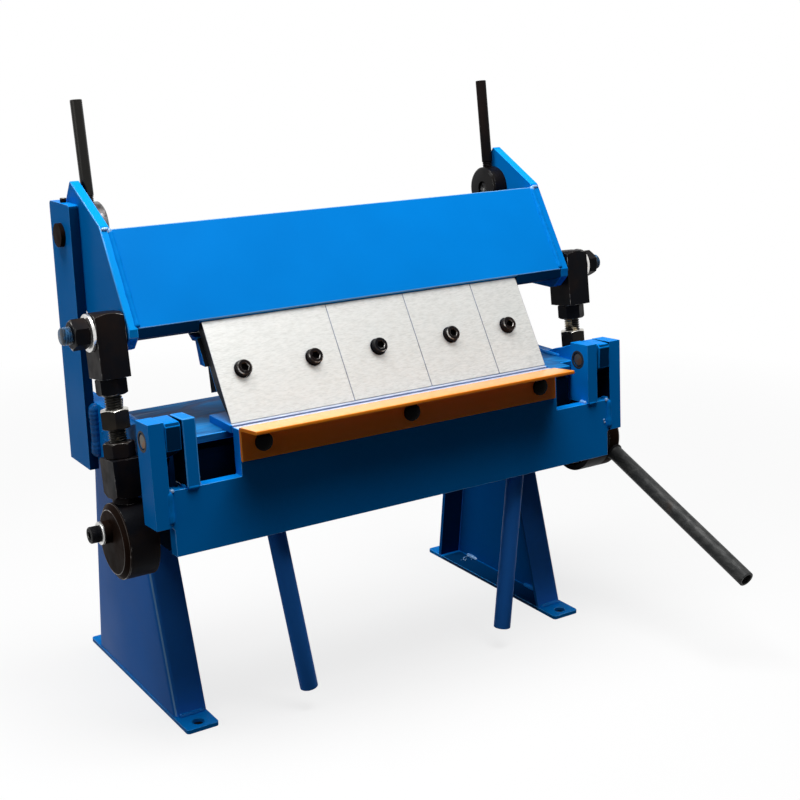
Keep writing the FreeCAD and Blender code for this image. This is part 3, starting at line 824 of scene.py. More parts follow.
def softened(node: str, width: float, finishes: Sequence[Finish],
             choose: Chooser | None = None) -> bpy.types.Object:
    """Stand-in for a node with the same faces and softened edges.

    Args:
        node: the node to copy.
        width: bevel width in millimetres.
        finishes: materials; the last one goes on the softened edges.
        choose: from face centres in drawing millimetres and face normals, the
            material index of each face.

    Returns:
        The new piece, which replaces the node.
    """
    source = frame["nodes"][node]
    mesh = source.data.copy()
    mesh.materials.clear()
    mesh.name = node + "_finished"
    work = bmesh.new()
    work.from_mesh(mesh)
    bmesh.ops.remove_doubles(work, verts=work.verts, dist=1e-6)
    bmesh.ops.dissolve_limit(work, angle_limit=math.radians(0.6), verts=work.verts, edges=work.edges)
    for face in work.faces:
        face.material_index = 0
    pour(work, mesh)
    shade(mesh, 32.0)
    if choose is not None:
        share_out(mesh, choose)
    return piece(node + "_finished", mesh, Body(source["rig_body"]), finishes, [node], width)


def joined(name: str, grids: Sequence[Array], along: bool, crease: float) -> bpy.types.Mesh:
    """Mesh of several grids, each its own closed shell.

    Args:
        name: the mesh's name.
        grids: the grids of points.
        along: close the grids across their rows.
        crease: angle in degrees above which an edge stays sharp.

    Returns:
        The joined mesh.
    """
    work = bmesh.new()
    for points in grids:
        part = grid_mesh(name + "_part", points, along=along, crease=crease)
        work.from_mesh(part)
        bpy.data.meshes.remove(part)
    whole = bpy.data.meshes.new(name)
    pour(work, whole)
    return whole


def weld_piece(name: str, body: Body, beads: Sequence[Array], finish: Finish = BLUE_WELD,
               ring: bool = False) -> None:
    """Join beads and drops into one piece; the beads of a ring close on themselves."""
    piece(name, joined(name, beads, ring, 80.0), body, [finish])


def front_faces(_: Array, normals: Array) -> Array:
    """Material 1 on the faces that look forward and 0 elsewhere."""
    return (normals[:, 1] < -0.8).astype(int)


def drawn_box(node: str) -> tuple[Array, Array, Array]:
    """Lowest corner, highest corner and middle of a node at rest, in drawing millimetres."""
    low, high = (drawn(corner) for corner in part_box(node))
    return low, high, 0.5 * (low + high)


@dataclass(frozen=True)
class Axis:
    """Where a turned piece sits: a point, the way its axis points and one way across."""

    origin: Sequence[float]
    way: Sequence[float]
    across: Sequence[float] = (0.0, 0.0, 1.0)

    def grid(self, radius: Array, height: Array, columns: int) -> Array:
        """Points of a surface turned about this axis.

        At angle a a point is origin + radius (cos a across + sin a third) + height
        way, where third is square to both others.

        Args:
            radius: distance from the axis, (rows,) or (rows, columns).
            height: distance along the axis, in the same shape.
            columns: points round the axis.

        Returns:
            A (rows, columns, 3) array.
        """
        way = unit(np.array(self.way, float))
        across = unit(np.array(self.across, float) - way * np.dot(self.across, way))
        third = np.cross(way, across)
        angle = angles(columns)
        radius, height = (np.broadcast_to(item.reshape(len(item), -1), (len(item), columns))[..., None]
                          for item in (radius, height))
        rim = np.cos(angle)[:, None] * across + np.sin(angle)[:, None] * third
        return np.array(self.origin, float) + radius * rim + height * way

    def turned(self, profile: Array, columns: int = 64) -> Array:
        """Grid of a plain turned surface from its (radius, height) profile."""
        profile = np.asarray(profile, float)
        return self.grid(profile[:, 0], profile[:, 1], columns)

    def stacked(self, rows: Sequence[tuple], columns: int) -> Array:
        """Grid from rows whose radius and height may differ from column to column.

        Args:
            rows: a radius and a height each, as a number or one for each column.
            columns: how many columns go round.

        Returns:
            A (rows, columns, 3) array.
        """
        radius, height = (np.stack([np.broadcast_to(np.asarray(row[k], float), columns) for row in rows])
                          for k in (0, 1))
        return self.grid(radius, height, columns)


def angles(columns: int) -> Array:
    """Angles that divide a turn into that many parts."""
    return np.arange(columns) * TURN / columns


def mirrored(points: Array) -> Array:
    """Both sides of the brake: a grid and its mirror image as two shells."""
    return np.stack([points, points * Side.LEFT.signs])


def hex_radius(columns: int, flats: float) -> Array:
    """Distance from the middle of a hexagon to its edge, with a corner at angle 0."""
    return 0.5 * flats / np.cos(angles(columns) % (math.pi / 3.0) - math.pi / 6.0)


@dataclass(frozen=True)
class HexNut:
    """Hexagon nut, both faces turned to 30 degrees so that each flat ends in an arc."""

    flats: float
    height: float
    bore: float
    soft: float = 0.25
    columns: int = 72

    def grid(self, axis: Axis) -> Array:
        """Closed loop of rows from bore to flats and back.

        The chamfer meets a flat where the hexagon's radius passes the turned
        circle's, and falls by the difference times the tangent of 30 degrees.

        Args:
            axis: where the nut sits.

        Returns:
            A (rows, columns, 3) array.
        """
        edge, soft = hex_radius(self.columns, self.flats), self.soft
        disc = 0.5 * self.flats - soft
        fall = (edge - disc) * math.tan(math.radians(30.0))
        half = [(self.bore, 0.0), (disc - soft, 0.0), (disc, 0.06), (edge - soft, fall - 0.08),
                (edge, fall + soft)]
        back = [(radius, self.height - level) for radius, level in reversed(half)]
        return axis.stacked(half + back, self.columns)

    EDGE_ROWS = (1, 2, 3, 5, 6, 7)


@dataclass(frozen=True)
class CapHead:
    """Knurled socket screw head."""

    radius: float = 6.5
    height: float = 8.0
    socket: float = 6.0
    depth: float = 4.0
    ridges: int = 36
    soft: float = 0.45
    knurl_depth: float = 0.035

    def grid(self, axis: Axis) -> Array:
        """Rows up the knurled side, over the rim and down into the hexagon socket.

        The knurl is a triangle wave of the angle; the socket's radius is that of a
        hexagon.

        Args:
            axis: where the head sits, pointing out of the work.

        Returns:
            A (rows, columns, 3) array.
        """
        columns = 4 * self.ridges
        phase = np.arange(columns) % 4 / 4.0
        knurl = self.radius * (1.0 - self.knurl_depth * np.abs(2.0 * phase - 1.0))
        hole = hex_radius(columns, self.socket)
        rim, top, cut = self.radius, self.height, 0.09 * self.radius
        rows = [(0.0, 0.0), (0.95 * rim, 0.0), (knurl, 0.6), (knurl, top - 1.3 * cut),
                (rim - 0.35 * cut, top - 0.9 * cut), (rim - 1.1 * cut, top - 0.12 * cut),
                (rim - 1.7 * cut, top), (hole + self.soft, top), (hole, top - self.soft),
                (hole, top - self.depth), (0.0, top - self.depth - 2.0 * self.soft)]
        return axis.stacked(rows, columns)

    EDGE_ROWS = (4, 5, 7)


@dataclass(frozen=True)
class Thread:
    """Screw thread cut on a rod, with its two ends chamfered."""

    radius: float
    length: float
    pitch: float = 2.0
    depth: float = 1.1
    plain: float = 0.0

    def grid(self, axis: Axis, columns: int = 30, per_turn: int = 8) -> Array:
        """Radius as a flat-topped triangle wave of height / pitch - angle / turn.

        The first plain millimetres of the rod keep their full radius.

        Args:
            axis: where the rod sits.
            columns: points round the rod.
            per_turn: rows in one turn of the thread.

        Returns:
            A (rows, columns, 3) array.
        """
        rows = max(int(self.length / self.pitch * per_turn), 8)
        height = np.linspace(0.0, self.length, rows)[:, None]
        wave = np.abs(2.0 * ((height / self.pitch - angles(columns) / TURN) % 1.0) - 1.0)
        threaded = np.clip((height - self.plain) / self.pitch, 0.0, 1.0)
        groove = threaded * np.clip(1.35 * wave - 0.18, 0.0, 1.0)
        ends = np.minimum(height, self.length - height) + self.radius - self.depth
        radius = np.pad(np.minimum(self.radius - self.depth * groove, ends), ((1, 1), (0, 0)))
        height = np.broadcast_to(np.pad(height, ((1, 1), (0, 0)), "edge"), radius.shape)
        return axis.grid(radius, height, columns)


@dataclass(frozen=True)
class Tube:
    """Cut length of tube, or a washer, with rounded rims."""

    radius: float
    bore: float
    length: float
    rim: float = 0.5

    def grid(self, axis: Axis, columns: int = 56) -> Array:
        """Rounded rectangle between bore and outside, turned about the axis."""
        corners = [(self.bore, 0.0), (self.radius, 0.0),
                   (self.radius, self.length), (self.bore, self.length)]
        return axis.turned(rounded(corners, self.rim, 3), columns)


@dataclass(frozen=True)
class WeldBead:
    """Hand-laid weld bead: a tube along a path with crescent ripples."""

    radius: float
    pitch: float = 2.1
    ripple: float = 0.11
    wander: float = 0.09
    seed: int = 1
    columns: int = 18

    def grid(self, path: Array, outward: Array, closed: bool = False) -> Array:
        """Surface of the bead along a path of points.

        At arc length s and angle a the radius is the bead's radius times a rounded
        end, times one plus ripple times the crest wave of s bent back with cos a,
        plus a slow wander. Angle 0 faces outward.

        Args:
            path: points of the root line.
            outward: the side that the bead bulges to, one or one for each point.
            closed: whether the path is a ring.

        Returns:
            A (rows, columns, 3) array.
        """
        nodes, outside = np.asarray(path, float), np.asarray(outward, float)
        if closed:
            nodes, outside = (np.vstack([item, item[:1]]) for item in (nodes, outside))
        lengths = np.concatenate([[0.0], np.cumsum(np.linalg.norm(np.diff(nodes, axis=0), axis=1))])
        rows = max(int(lengths[-1] / self.pitch * 7), 12)
        travel = np.linspace(0.0, lengths[-1], rows, endpoint=not closed)

        def along(values: Array) -> Array:
            """Values given at the path's points, at each row."""
            return np.stack([np.interp(travel, lengths, values[:, k]) for k in range(3)], -1)

        spine = along(nodes)
        way = unit(np.roll(spine, -1, 0) - np.roll(spine, 1, 0) if closed else np.gradient(spine, axis=0))
        if closed:
            outside = along(outside)
        outside = unit(outside - way * (way * outside).sum(-1, keepdims=True))
        third = np.cross(way, outside)
        angle = angles(self.columns)[None, :]
        phase = np.random.default_rng(self.seed).uniform(0.0, TURN, 3)
        s = travel[:, None]
        bent = s + 0.55 * self.pitch * np.cos(angle)
        crest = np.abs(np.sin(math.pi * bent / self.pitch + 0.7 * np.sin(s / 5.3 + phase[0])))
        slow = np.sin(s / 4.7 + phase[1]) + 0.6 * np.sin(s / 2.3 + phase[2])
        radius = self.radius * (1.0 + self.ripple * crest + self.wander * slow)
        if not closed:
            near = np.clip(np.minimum(s, lengths[-1] - s) / self.radius, 0.0, 1.0)
            radius = radius * np.sqrt(np.clip(1.0 - (1.0 - near) ** 2, 0.0, 1.0))
        ring = np.cos(angle)[..., None] * outside[:, None] + np.sin(angle)[..., None] * third[:, None]
        return spine[:, None] + radius[..., None] * ring


@dataclass(frozen=True)
class Spatter:
    """Drops of weld metal thrown on a flat face near a seam."""

    count: int
    spread: float
    size: Pair
    seed: int
    flatness: float = 0.62

    def grid(self, centre: Array, normal: Array) -> Array:
        """Low domes scattered about a point: half an ellipsoid each, mostly proud.

        Args:
            centre: the middle of the scatter.
            normal: the way that the face looks.

        Returns:
            A (drops, rows, columns, 3) array.
        """
        draw = np.random.default_rng(self.seed)
        normal = unit(np.asarray(normal, float))
        side = unit(np.cross(normal, (0.31, 0.87, 0.38)))
        other = np.cross(normal, side)
        offset = draw.normal(0.0, self.spread, (self.count, 2))
        size = draw.uniform(*self.size, (self.count, 1, 1, 1))
        lift = np.linspace(-0.5 * math.pi, 0.5 * math.pi, 7)[None, :, None, None]
        angle = angles(10)[None, None, :, None]
        flat = np.cos(lift) * (np.cos(angle) * side + np.sin(angle) * other)
        dome = flat + self.flatness * np.sin(lift) * normal
        home = np.asarray(centre, float) + offset[:, :1] * side + offset[:, 1:] * other
        return home[:, None, None] + size * dome


@dataclass
class LegsAndFeet:
    """Folded channel legs on their welded foot plates."""

    sheet: float = 4.0
    bend_r: float = 5.0
    inner_bend_r: float = 1.2
    edge_r: float = 0.7
    front_slope: float = 0.314
    rear_slope: float = 0.123
    flange_from: float = 150.0
    weld_x: Pair = (175.0, 197.0)
    front_weld_y: float = 33.2
    rear_weld_y: float = 199.8
    weld_z: float = 3.6
    web_x: float = 196.2
    web_weld_y: Pair = (50.0, 84.0)
    tack_y: Pair = (163.0, 180.0)
    spatter_at: Triple = (187.0, 172.0, 4.4)

    def channel(self, side: Side) -> Array:
        """Section of the channel carried up the leg.

        The section is a C with rounded bends; going up by h its front points move
        back by the front slope times h and its rear points forward by the rear one.

        Args:
            side: which leg.

        Returns:
            A (levels, points, 3) array.
        """
        low, high, _ = drawn_box(side.word + "_leg")
        inner, outer = sorted((abs(low[0]), abs(high[0])))
        front, rear, t = low[1], high[1], self.sheet
        section = rounded([(inner, front), (outer, front), (outer, rear), (inner, rear),
                           (inner, rear - t), (outer - t, rear - t), (outer - t, front + t),
                           (inner, front + t)],
                          [self.edge_r, self.bend_r, self.bend_r, self.edge_r,
                           self.edge_r, self.inner_bend_r, self.inner_bend_r, self.edge_r], 5)
        level = np.linspace(low[2], high[2], 12)[:, None]
        ahead = section[None, :, 1] < 0.5 * (front + rear)
        y = section[None, :, 1] + np.where(ahead, self.front_slope, -self.rear_slope) * (level - low[2])
        x = side.value * np.broadcast_to(section[None, :, 0], y.shape)
        return np.stack([x, y, np.broadcast_to(level, y.shape)], -1)

    def leg_parts(self, centres: Array, normals: Array, side: Side) -> Array:
        """Material of each face of a leg.

        1, a painted highlight, on the crown of the front bend; 2 and 3, painted shade,
        on the web's inner face and the rear flange's inner face; 0 elsewhere.

        Args:
            centres: the faces' centres.
            normals: their normals.
            side: which leg.

        Returns:
            One index for each face.
        """
        crown = normals @ (np.array([side.value, -1.0, 0.0]) / math.sqrt(2.0)) > 0.975
        web = normals[:, 0] * side.value < -0.9
        flange = (normals[:, 1] < -0.9) & (centres[:, 1] > self.flange_from)
        return np.select([crown, web, flange], [1, 2, 3], 0)

    def build(self) -> None:
        """Make both legs, feet and the welds between them."""
        ends, web, z = WeldBead(2.3, seed=11), self.web_x, self.weld_z
        for side in Side:
            formed(side.word + "_leg_folded", self.channel(side), Body.FRAME,
                   [BLUE_SHEET, BLUE_ARRIS_HIGHLIGHT, BLUE_CHANNEL_SHADE, BLUE_PAINTED_SHADE, BLUE_EDGE_HIGHLIGHT], [side.word + "_leg"], 0.5,
                   lambda centres, normals, side=side: self.leg_parts(centres, normals, side), caps=True)
            softened(side.word + "_foot_plate", 0.6, [BLUE_FOOT, BLUE_EDGE_HIGHLIGHT])
            beads = [ends.grid(side.signs * [(x, y, z) for x in self.weld_x], (0, way, 1))
                     for y, way in ((self.front_weld_y, -1), (self.rear_weld_y, 1))]
            inside = side.signs * (-1, 0, 1)
            beads.append(WeldBead(2.2, ripple=0.12, wander=0.2, seed=14).grid(
                side.signs * [(web, y, z + 0.2) for y in self.web_weld_y], inside))
            weld_piece(side.word + "_foot_welds", Body.FRAME, beads)
            # Tack bead and drops coloured pale as painted glints.
            tack = WeldBead(1.9, ripple=0.12, wander=0.2, seed=13).grid(
                side.signs * [(web, y, z + 0.2) for y in self.tack_y], inside)
            drops = Spatter(8, 3.0, (0.5, 1.3), 21).grid(side.signs * self.spatter_at, (0, 0, 1))
            weld_piece(side.word + "_foot_tacks", Body.FRAME, [tack, drops], BLUE_PAINTED_GLINT)


@dataclass
class CheeksAndUprights:
    """Thick end plates, the upright bars welded on them and the cam set screws."""

    bar_x: float = 212.4
    weld_gap: float = 0.6
    front_weld_y: float = 127.9
    rear_weld_y: float = 175.0
    front_weld_z: Pair = (203.0, 249.0)
    rear_weld_z: Pair = (203.0, 247.0)
    leg_seam_x: float = 200.8
    leg_seam_y: Pair = (34.0, 164.0)
    leg_seam_z: float = 199.8
    spatter_y: float = 112.0
    spatter_z: float = 228.0
    nose_rear: float = 45.0
    nose_low: float = 238.0
    screw_proud: float = 3.5

    def build(self) -> None:
        """Make the plates and bars, the beads between them and the screws' heads."""
        for side in Side:
            x = self.bar_x + self.weld_gap
            # Cheek: painted shade on the nose's front and darker painted shade under it. Upright: painted
            # shade on its front face.
            softened(side.word + "_cheek_plate", 1.0, [BLUE, BLUE_PAINTED_SHADE, BLUE_PAINTED_DEEP_SHADE, BLUE], self.nose)
            softened(side.word + "_upright_bar", 1.9, [BLUE, BLUE_PAINTED_SHADE, BLUE_EDGE_HIGHLIGHT], front_faces)
            # The front bead, in the corner, is a darker blue: painted shade.
            front = WeldBead(5.0, 4.2, 0.05, 0.05, 31).grid(
                side.signs * [(x, self.front_weld_y, z) for z in self.front_weld_z],
                side.signs * (1, -1, 0))
            weld_piece(side.word + "_upright_front_weld", Body.FRAME, [front], BLUE_CORNER_SHADE)
            rear = WeldBead(3.0, 2.6, seed=33).grid(
                side.signs * [(x, self.rear_weld_y, z) for z in self.rear_weld_z], side.signs * (1, 1, 0))
            seam = WeldBead(2.6, seed=34).grid(
                side.signs * [(self.leg_seam_x, y, self.leg_seam_z) for y in self.leg_seam_y],
                side.signs * (1, 0, -1))
            drops = Spatter(8, 5.0, (0.5, 1.3), 35).grid(
                side.signs * (self.bar_x, self.spatter_y, self.spatter_z), side.signs * (1, 0, 0))
            weld_piece(side.word + "_upright_welds", Body.FRAME, [rear, seam, drops])
        self.lock_screws()

    def nose(self, centres: Array, normals: Array) -> Array:
        """Material 1, painted shade, on the nose's front, 2, darker painted shade, under the nose and 0
        elsewhere.

        Args:
            centres: the faces' centres.
            normals: the faces' normals.

        Returns:
            A material number for each face.
        """
        front = normals[:, 1] < -0.5
        low = (normals[:, 2] < -0.3) | (front & (centres[:, 2] < self.nose_low))
        return np.where((centres[:, 1] < self.nose_rear) & low, 2, np.where(front, 1, 0))

    def lock_screws(self) -> None:
        """Two small set screws that stand in the tops of the uprights."""
        low, high, middle = drawn_box("cam_lock_screws")
        radius = 0.5 * (high[1] - low[1])
        seat = (high[0] - radius, middle[1], high[2] - self.screw_proud)
        head = CapHead(radius, self.screw_proud, 2.5, 1.6, 20).grid(Axis(seat, (0, 0, 1), (1, 0, 0)))
        formed("cam_lock_screw_heads", mirrored(head), Body.FRAME, [BLACK_BROWN, BLACK_EDGE],
               ["cam_lock_screws"], edge_rows=CapHead.EDGE_ROWS)


@dataclass
class Bed:
    """Bed plate, front bar, jaw strip and the clamp shaft's brackets."""

    seam_x: float = 200.0
    seam_y: Pair = (40.0, 102.0)
    seam_z: float = 244.4

    def build(self) -> None:
        """Dress the bed, whose paint has pooled, and what is under it."""
        softened("bed_top_plate", 0.7, [BLUE_POOL, BLUE_EDGE_HIGHLIGHT])
        # Darker painted shade on the front bar behind the notches.
        softened("bed_front_bar", 0.8, [BLUE_PAINTED_DEEP_SHADE, BLUE_PAINTED_DEEP_SHADE])
        softened("lower_jaw_strip", 0.5, [MOUTH, MOUTH])
        # Painted shade on the shaft brackets.
        for side in Side:
            softened(side.word + "_shaft_bracket", 0.6, [BLUE_PAINTED_SHADE, BLUE_PAINTED_SHADE])
        seam = [(self.seam_x, y, self.seam_z) for y in self.seam_y]
        beads = [WeldBead(2.0, seed=41).grid(side.signs * seam, side.signs * (-1, 0, 1)) for side in Side]
        weld_piece("bed_end_welds", Body.FRAME, beads)


@dataclass
class FingerBeam:
    """Tilting beam with its fingers, their screws and the link studs."""

    lean: float = 32.15
    finger_lean: float = 31.6
    foot: Pair = (44.5, 323.8)
    plate_height: float = 83.0
    plate_thick: float = 8.0
    inner_x: float = 204.0
    corner_x: Pair = (204.8, 211.2)
    holder_black_below: float = 287.0
    stud_pitch: float = 2.0
    stud_depth: float = 1.1
    stud_plain: float = 24.0
    nut_flats: float = 21.0
    washer_thick: float = 2.5
    head: CapHead = CapHead()

    def build(self) -> None:
        """Make the beam, its welds, the fingers and the fasteners."""
        # Painted highlight on the front plate's bevels; painted shade over the whole bottom bar.
        softened("beam_front_plate", 0.9, [BLUE, BLUE_ARRIS_HIGHLIGHT])
        softened("beam_bottom_bar", 0.8, [BLUE_PAINTED_SHADE, BLUE_PAINTED_SHADE])
        for side in Side:
            softened(side.word + "_side_plate", 1.1, [BLUE, BLUE_LIT, BLUE_EDGE_HIGHLIGHT],
                     lambda _, normals, side=side: self.lit_edges(normals, side))
        self.welds()
        self.fingers()
        self.studs()
        frame["nodes"]["pivot_bushes"].data.materials.clear()
        frame["nodes"]["pivot_bushes"].data.materials.append(BUSH.material())

    def lit_edges(self, normals: Array, side: Side) -> Array:
        """Material 1 on a side plate's edges that face the light: on the right, the top ones."""
        edge = np.abs(normals[:, 0]) < 0.3
        return (edge & ((side is Side.LEFT) | (normals[:, 2] > 0.62))).astype(int)

    def up_slope(self, x: Sequence[float], height: Sequence[float], depth: float) -> Array:
        """Points at places along X, heights up the front plate and a depth behind its face.

        Args:
            x: distance from the middle of each point.
            height: how far up the plate each point is.
            depth: how far behind the plate's face they are.

        Returns:
            The points, a height times the lean's sine further back and times its
            cosine higher, a depth the other way round.
        """
        sine, cosine = math.sin(math.radians(self.lean)), math.cos(math.radians(self.lean))
        x, height = np.broadcast_arrays(x, height)
        return np.stack([x, self.foot[0] + height * sine + depth * cosine,
                         self.foot[1] + height * cosine - depth * sine], -1)

    def welds(self) -> None:
        """Seams between front plate and side plates, in front and behind.

        The front seams are filled and painted over; lumps, coloured pale as painted glints, close them at
        the top.
        """
        beads, lumps = [], []
        x, top, lean = self.inner_x, self.plate_height, math.radians(self.lean)
        out = np.array([0.0, -math.cos(lean), math.sin(lean)])
        for side in Side:
            seam = self.up_slope(x, (1.0, top - 1.0), 1.1)
            beads.append(WeldBead(2.4, 5.0, 0.03, 0.05, 51).grid(side.signs * seam, out))
            crown = self.up_slope(x + 0.5, (top - 4.0, top + 1.0), 1.0)
            lumps.append(WeldBead(2.6, 3.0, 0.10, 0.12, 52).grid(side.signs * crown, out))
            corner = self.up_slope(self.corner_x, top, 0.0)
            lumps.append(WeldBead(1.4, 3.0, 0.10, 0.10, 54).grid(side.signs * corner, out))
            behind = self.up_slope(x - 0.5, (4.0, top - 3.0), self.plate_thick + 0.5)
            beads.append(WeldBead(2.8, seed=53).grid(side.signs * behind, (-side.value, -out[1], -out[2])))
        weld_piece("beam_seam_welds", Body.BEAM, beads, BLUE)
        weld_piece("beam_seam_crowns", Body.BEAM, lumps, BLUE_PAINTED_GLINT)

    def fingers(self) -> None:
        """Ground faces, flanks and back near black as painted shade, bluish-grey arrises and lower edge."""
        lean = math.radians(self.finger_lean)
        face_way = np.array([0.0, -math.cos(lean), math.sin(lean)])
        for node in ("finger_110", "finger_75", "finger_70", "finger_50"):
            keep_flat(softened(node, 0.45, [FINGER, FINGER_SIDE_SHADE, FINGER_EDGE],
                               lambda _, normals: (normals @ face_way <= 0.9).astype(int)))
        softened("finger_holder_bar", 0.7, [BLUE, BLACK_DULL, BLUE_EDGE_HIGHLIGHT],
                 lambda centres, _: (centres[:, 2] <= self.holder_black_below).astype(int))
        self.finger_screws(face_way)

    def finger_screws(self, face_way: Array) -> None:
        """Socket heads, one over each screw in the fingers.

        The node's points furthest out of the fingers are the heads' tops; sorted
        along X, they fall into one group for each screw.

        Args:
            face_way: the way that the fingers' faces look.
        """
        points = drawn(read(frame["nodes"]["finger_screws"].data.vertices, "co"))
        depth = points @ face_way
        tops = points[depth > depth.max() - 0.05]
        order = np.sort(tops[:, 0])
        groups = np.split(order, np.where(np.diff(order) > 3.0 * self.head.radius)[0] + 1)
        middle = 0.5 * (tops.min(0) + tops.max(0)) - face_way * self.head.height
        centres = [(0.5 * (group[0] + group[-1]), *middle[1:]) for group in groups]
        heads = np.stack([self.head.grid(Axis(centre, face_way, (1, 0, 0))) for centre in centres])
        formed("finger_screw_heads", heads, Body.BEAM, [BLACK, BLACK_EDGE], ["finger_screws"],
               edge_rows=CapHead.EDGE_ROWS)

    def studs(self) -> None:
        """Threaded studs with their washers and nuts, on both sides."""
        low, high, (_, y, z) = drawn_box("link_studs")
        radius = 0.5 * (high[2] - low[2])
        washer_high, nut_high = drawn_box("link_stud_washers")[1], drawn_box("link_stud_nuts")[1]
        inside, washer_x, nut_x = (Axis((x, y, z), (1, 0, 0), (0, 0, -1)) for x in (
            self.inner_x, washer_high[0] - self.washer_thick, washer_high[0]))
        stud = Thread(radius, high[0] - self.inner_x, self.stud_pitch, self.stud_depth, self.stud_plain)
        formed("link_studs_cut", mirrored(stud.grid(inside)), Body.BEAM, [STUD], ["link_studs"],
               crease=60.0)
        washer = Tube(washer_high[2] - z, radius + 0.3, self.washer_thick, 0.35)
        formed("link_washers_turned", mirrored(washer.grid(washer_x, 72)), Body.BEAM, [BRIGHT],
               ["link_stud_washers"], along=True)
        nut = HexNut(self.nut_flats, nut_high[0] - washer_high[0], radius - 0.3)
        formed("link_stud_nuts_cut", mirrored(nut.grid(nut_x)), Body.BEAM, [BLACK, BLACK_EDGE],
               ["link_stud_nuts"], along=True, edge_rows=HexNut.EDGE_ROWS)


@dataclass
class SetbackLevers:
    """Eccentric cams at the beam's pivot, each turned by an upright rod."""

    disc_centre: Pair = (144.5, 389.0)
    recess_x: float = 193.5
    screw_r: float = 5.3
    slot_half: float = 0.75
    slot_depth: float = 1.3
    slot_turn: float = 0.9
    rod_x: float = 197.5
    rod_r: float = 4.8
    rod_top: Pair = (158.0, 487.5)
    rod_seat: float = 9.0
    thread_length: float = 16.0
    thread_pitch: float = 1.5
    thread_depth: float = 0.75
    journal_from: float = 208.0

    def build(self) -> None:
        """Make both cams, their rods and the slotted screws in the recesses."""
        for side, cam, rod in ((Side.LEFT, CAM_STEEL, LEVER_STEEL), (Side.RIGHT, BLACK_SATIN, BLACK)):
            softened(side.word + "_setback_cam", 0.5, [cam, BLACK_BROWN, BLACK_EDGE], self.journal_part)
            self.rod(side, rod)
            self.slotted_screw(side)

    def journal_part(self, centres: Array, _: Array) -> Array:
        """Material 1, oiled black, on the journal that passes through the upright."""
        return (np.abs(centres[:, 0]) > self.journal_from).astype(int)

    def rod(self, side: Side, finish: Finish) -> None:
        """Lever rod: threaded foot, plain shank, rounded end.

        Args:
            side: which lever.
            finish: the rod's finish.
        """
        start, end = side.signs * [(self.rod_x, *self.disc_centre), (self.rod_x, *self.rod_top)]
        way = unit(end - start)
        threaded = Thread(self.rod_r - 0.2, self.thread_length, self.thread_pitch, self.thread_depth)
        foot = self.rod_seat + self.thread_length - 1.0
        length = float(np.linalg.norm(end - start)) - foot
        profile = rounded([(0, 0), (self.rod_r, 0), (self.rod_r, length), (0, length)], [0, 0.8, 0.7, 0], 4,
                          closed=False)
        grids = [threaded.grid(Axis(start + way * self.rod_seat, way)),
                 Axis(start + way * foot, way).turned(profile, 48)]
        name = side.word + "_setback_rod_turned"
        piece(name, joined(name, grids, False, 50.0), Body(side.word + "_setback_lever"), [finish],
              [side.word + "_setback_rod"])

    def slotted_screw(self, side: Side) -> None:
        """Round screw head with a slot, down in the cam's recess.

        The head's top follows a disc whose height drops by the slot's depth where
        the distance from the slot's line is under half its width.

        Args:
            side: which cam.
        """
        columns = 72
        ring = np.array([0.0, 0.35, 0.6, 0.8, 0.93, 1.0, 1.0, 0.0])[:, None] * self.screw_r
        height = np.array([2.6, 2.6, 2.6, 2.6, 2.5, 2.2, 0.0, 0.0])[:, None]
        away = np.abs(ring * np.sin(angles(columns) - self.slot_turn))
        drop = np.where((away < self.slot_half) & (height > 2.0), self.slot_depth, 0.0)
        axis = Axis(side.signs * (self.recess_x, *self.disc_centre), (-side.value, 0, 0))
        head = axis.grid(np.broadcast_to(ring, drop.shape), height - drop, columns)
        formed(side.word + "_cam_screw", head, Body(side.word + "_setback_lever"), [BLACK_EDGE],
               crease=28.0)


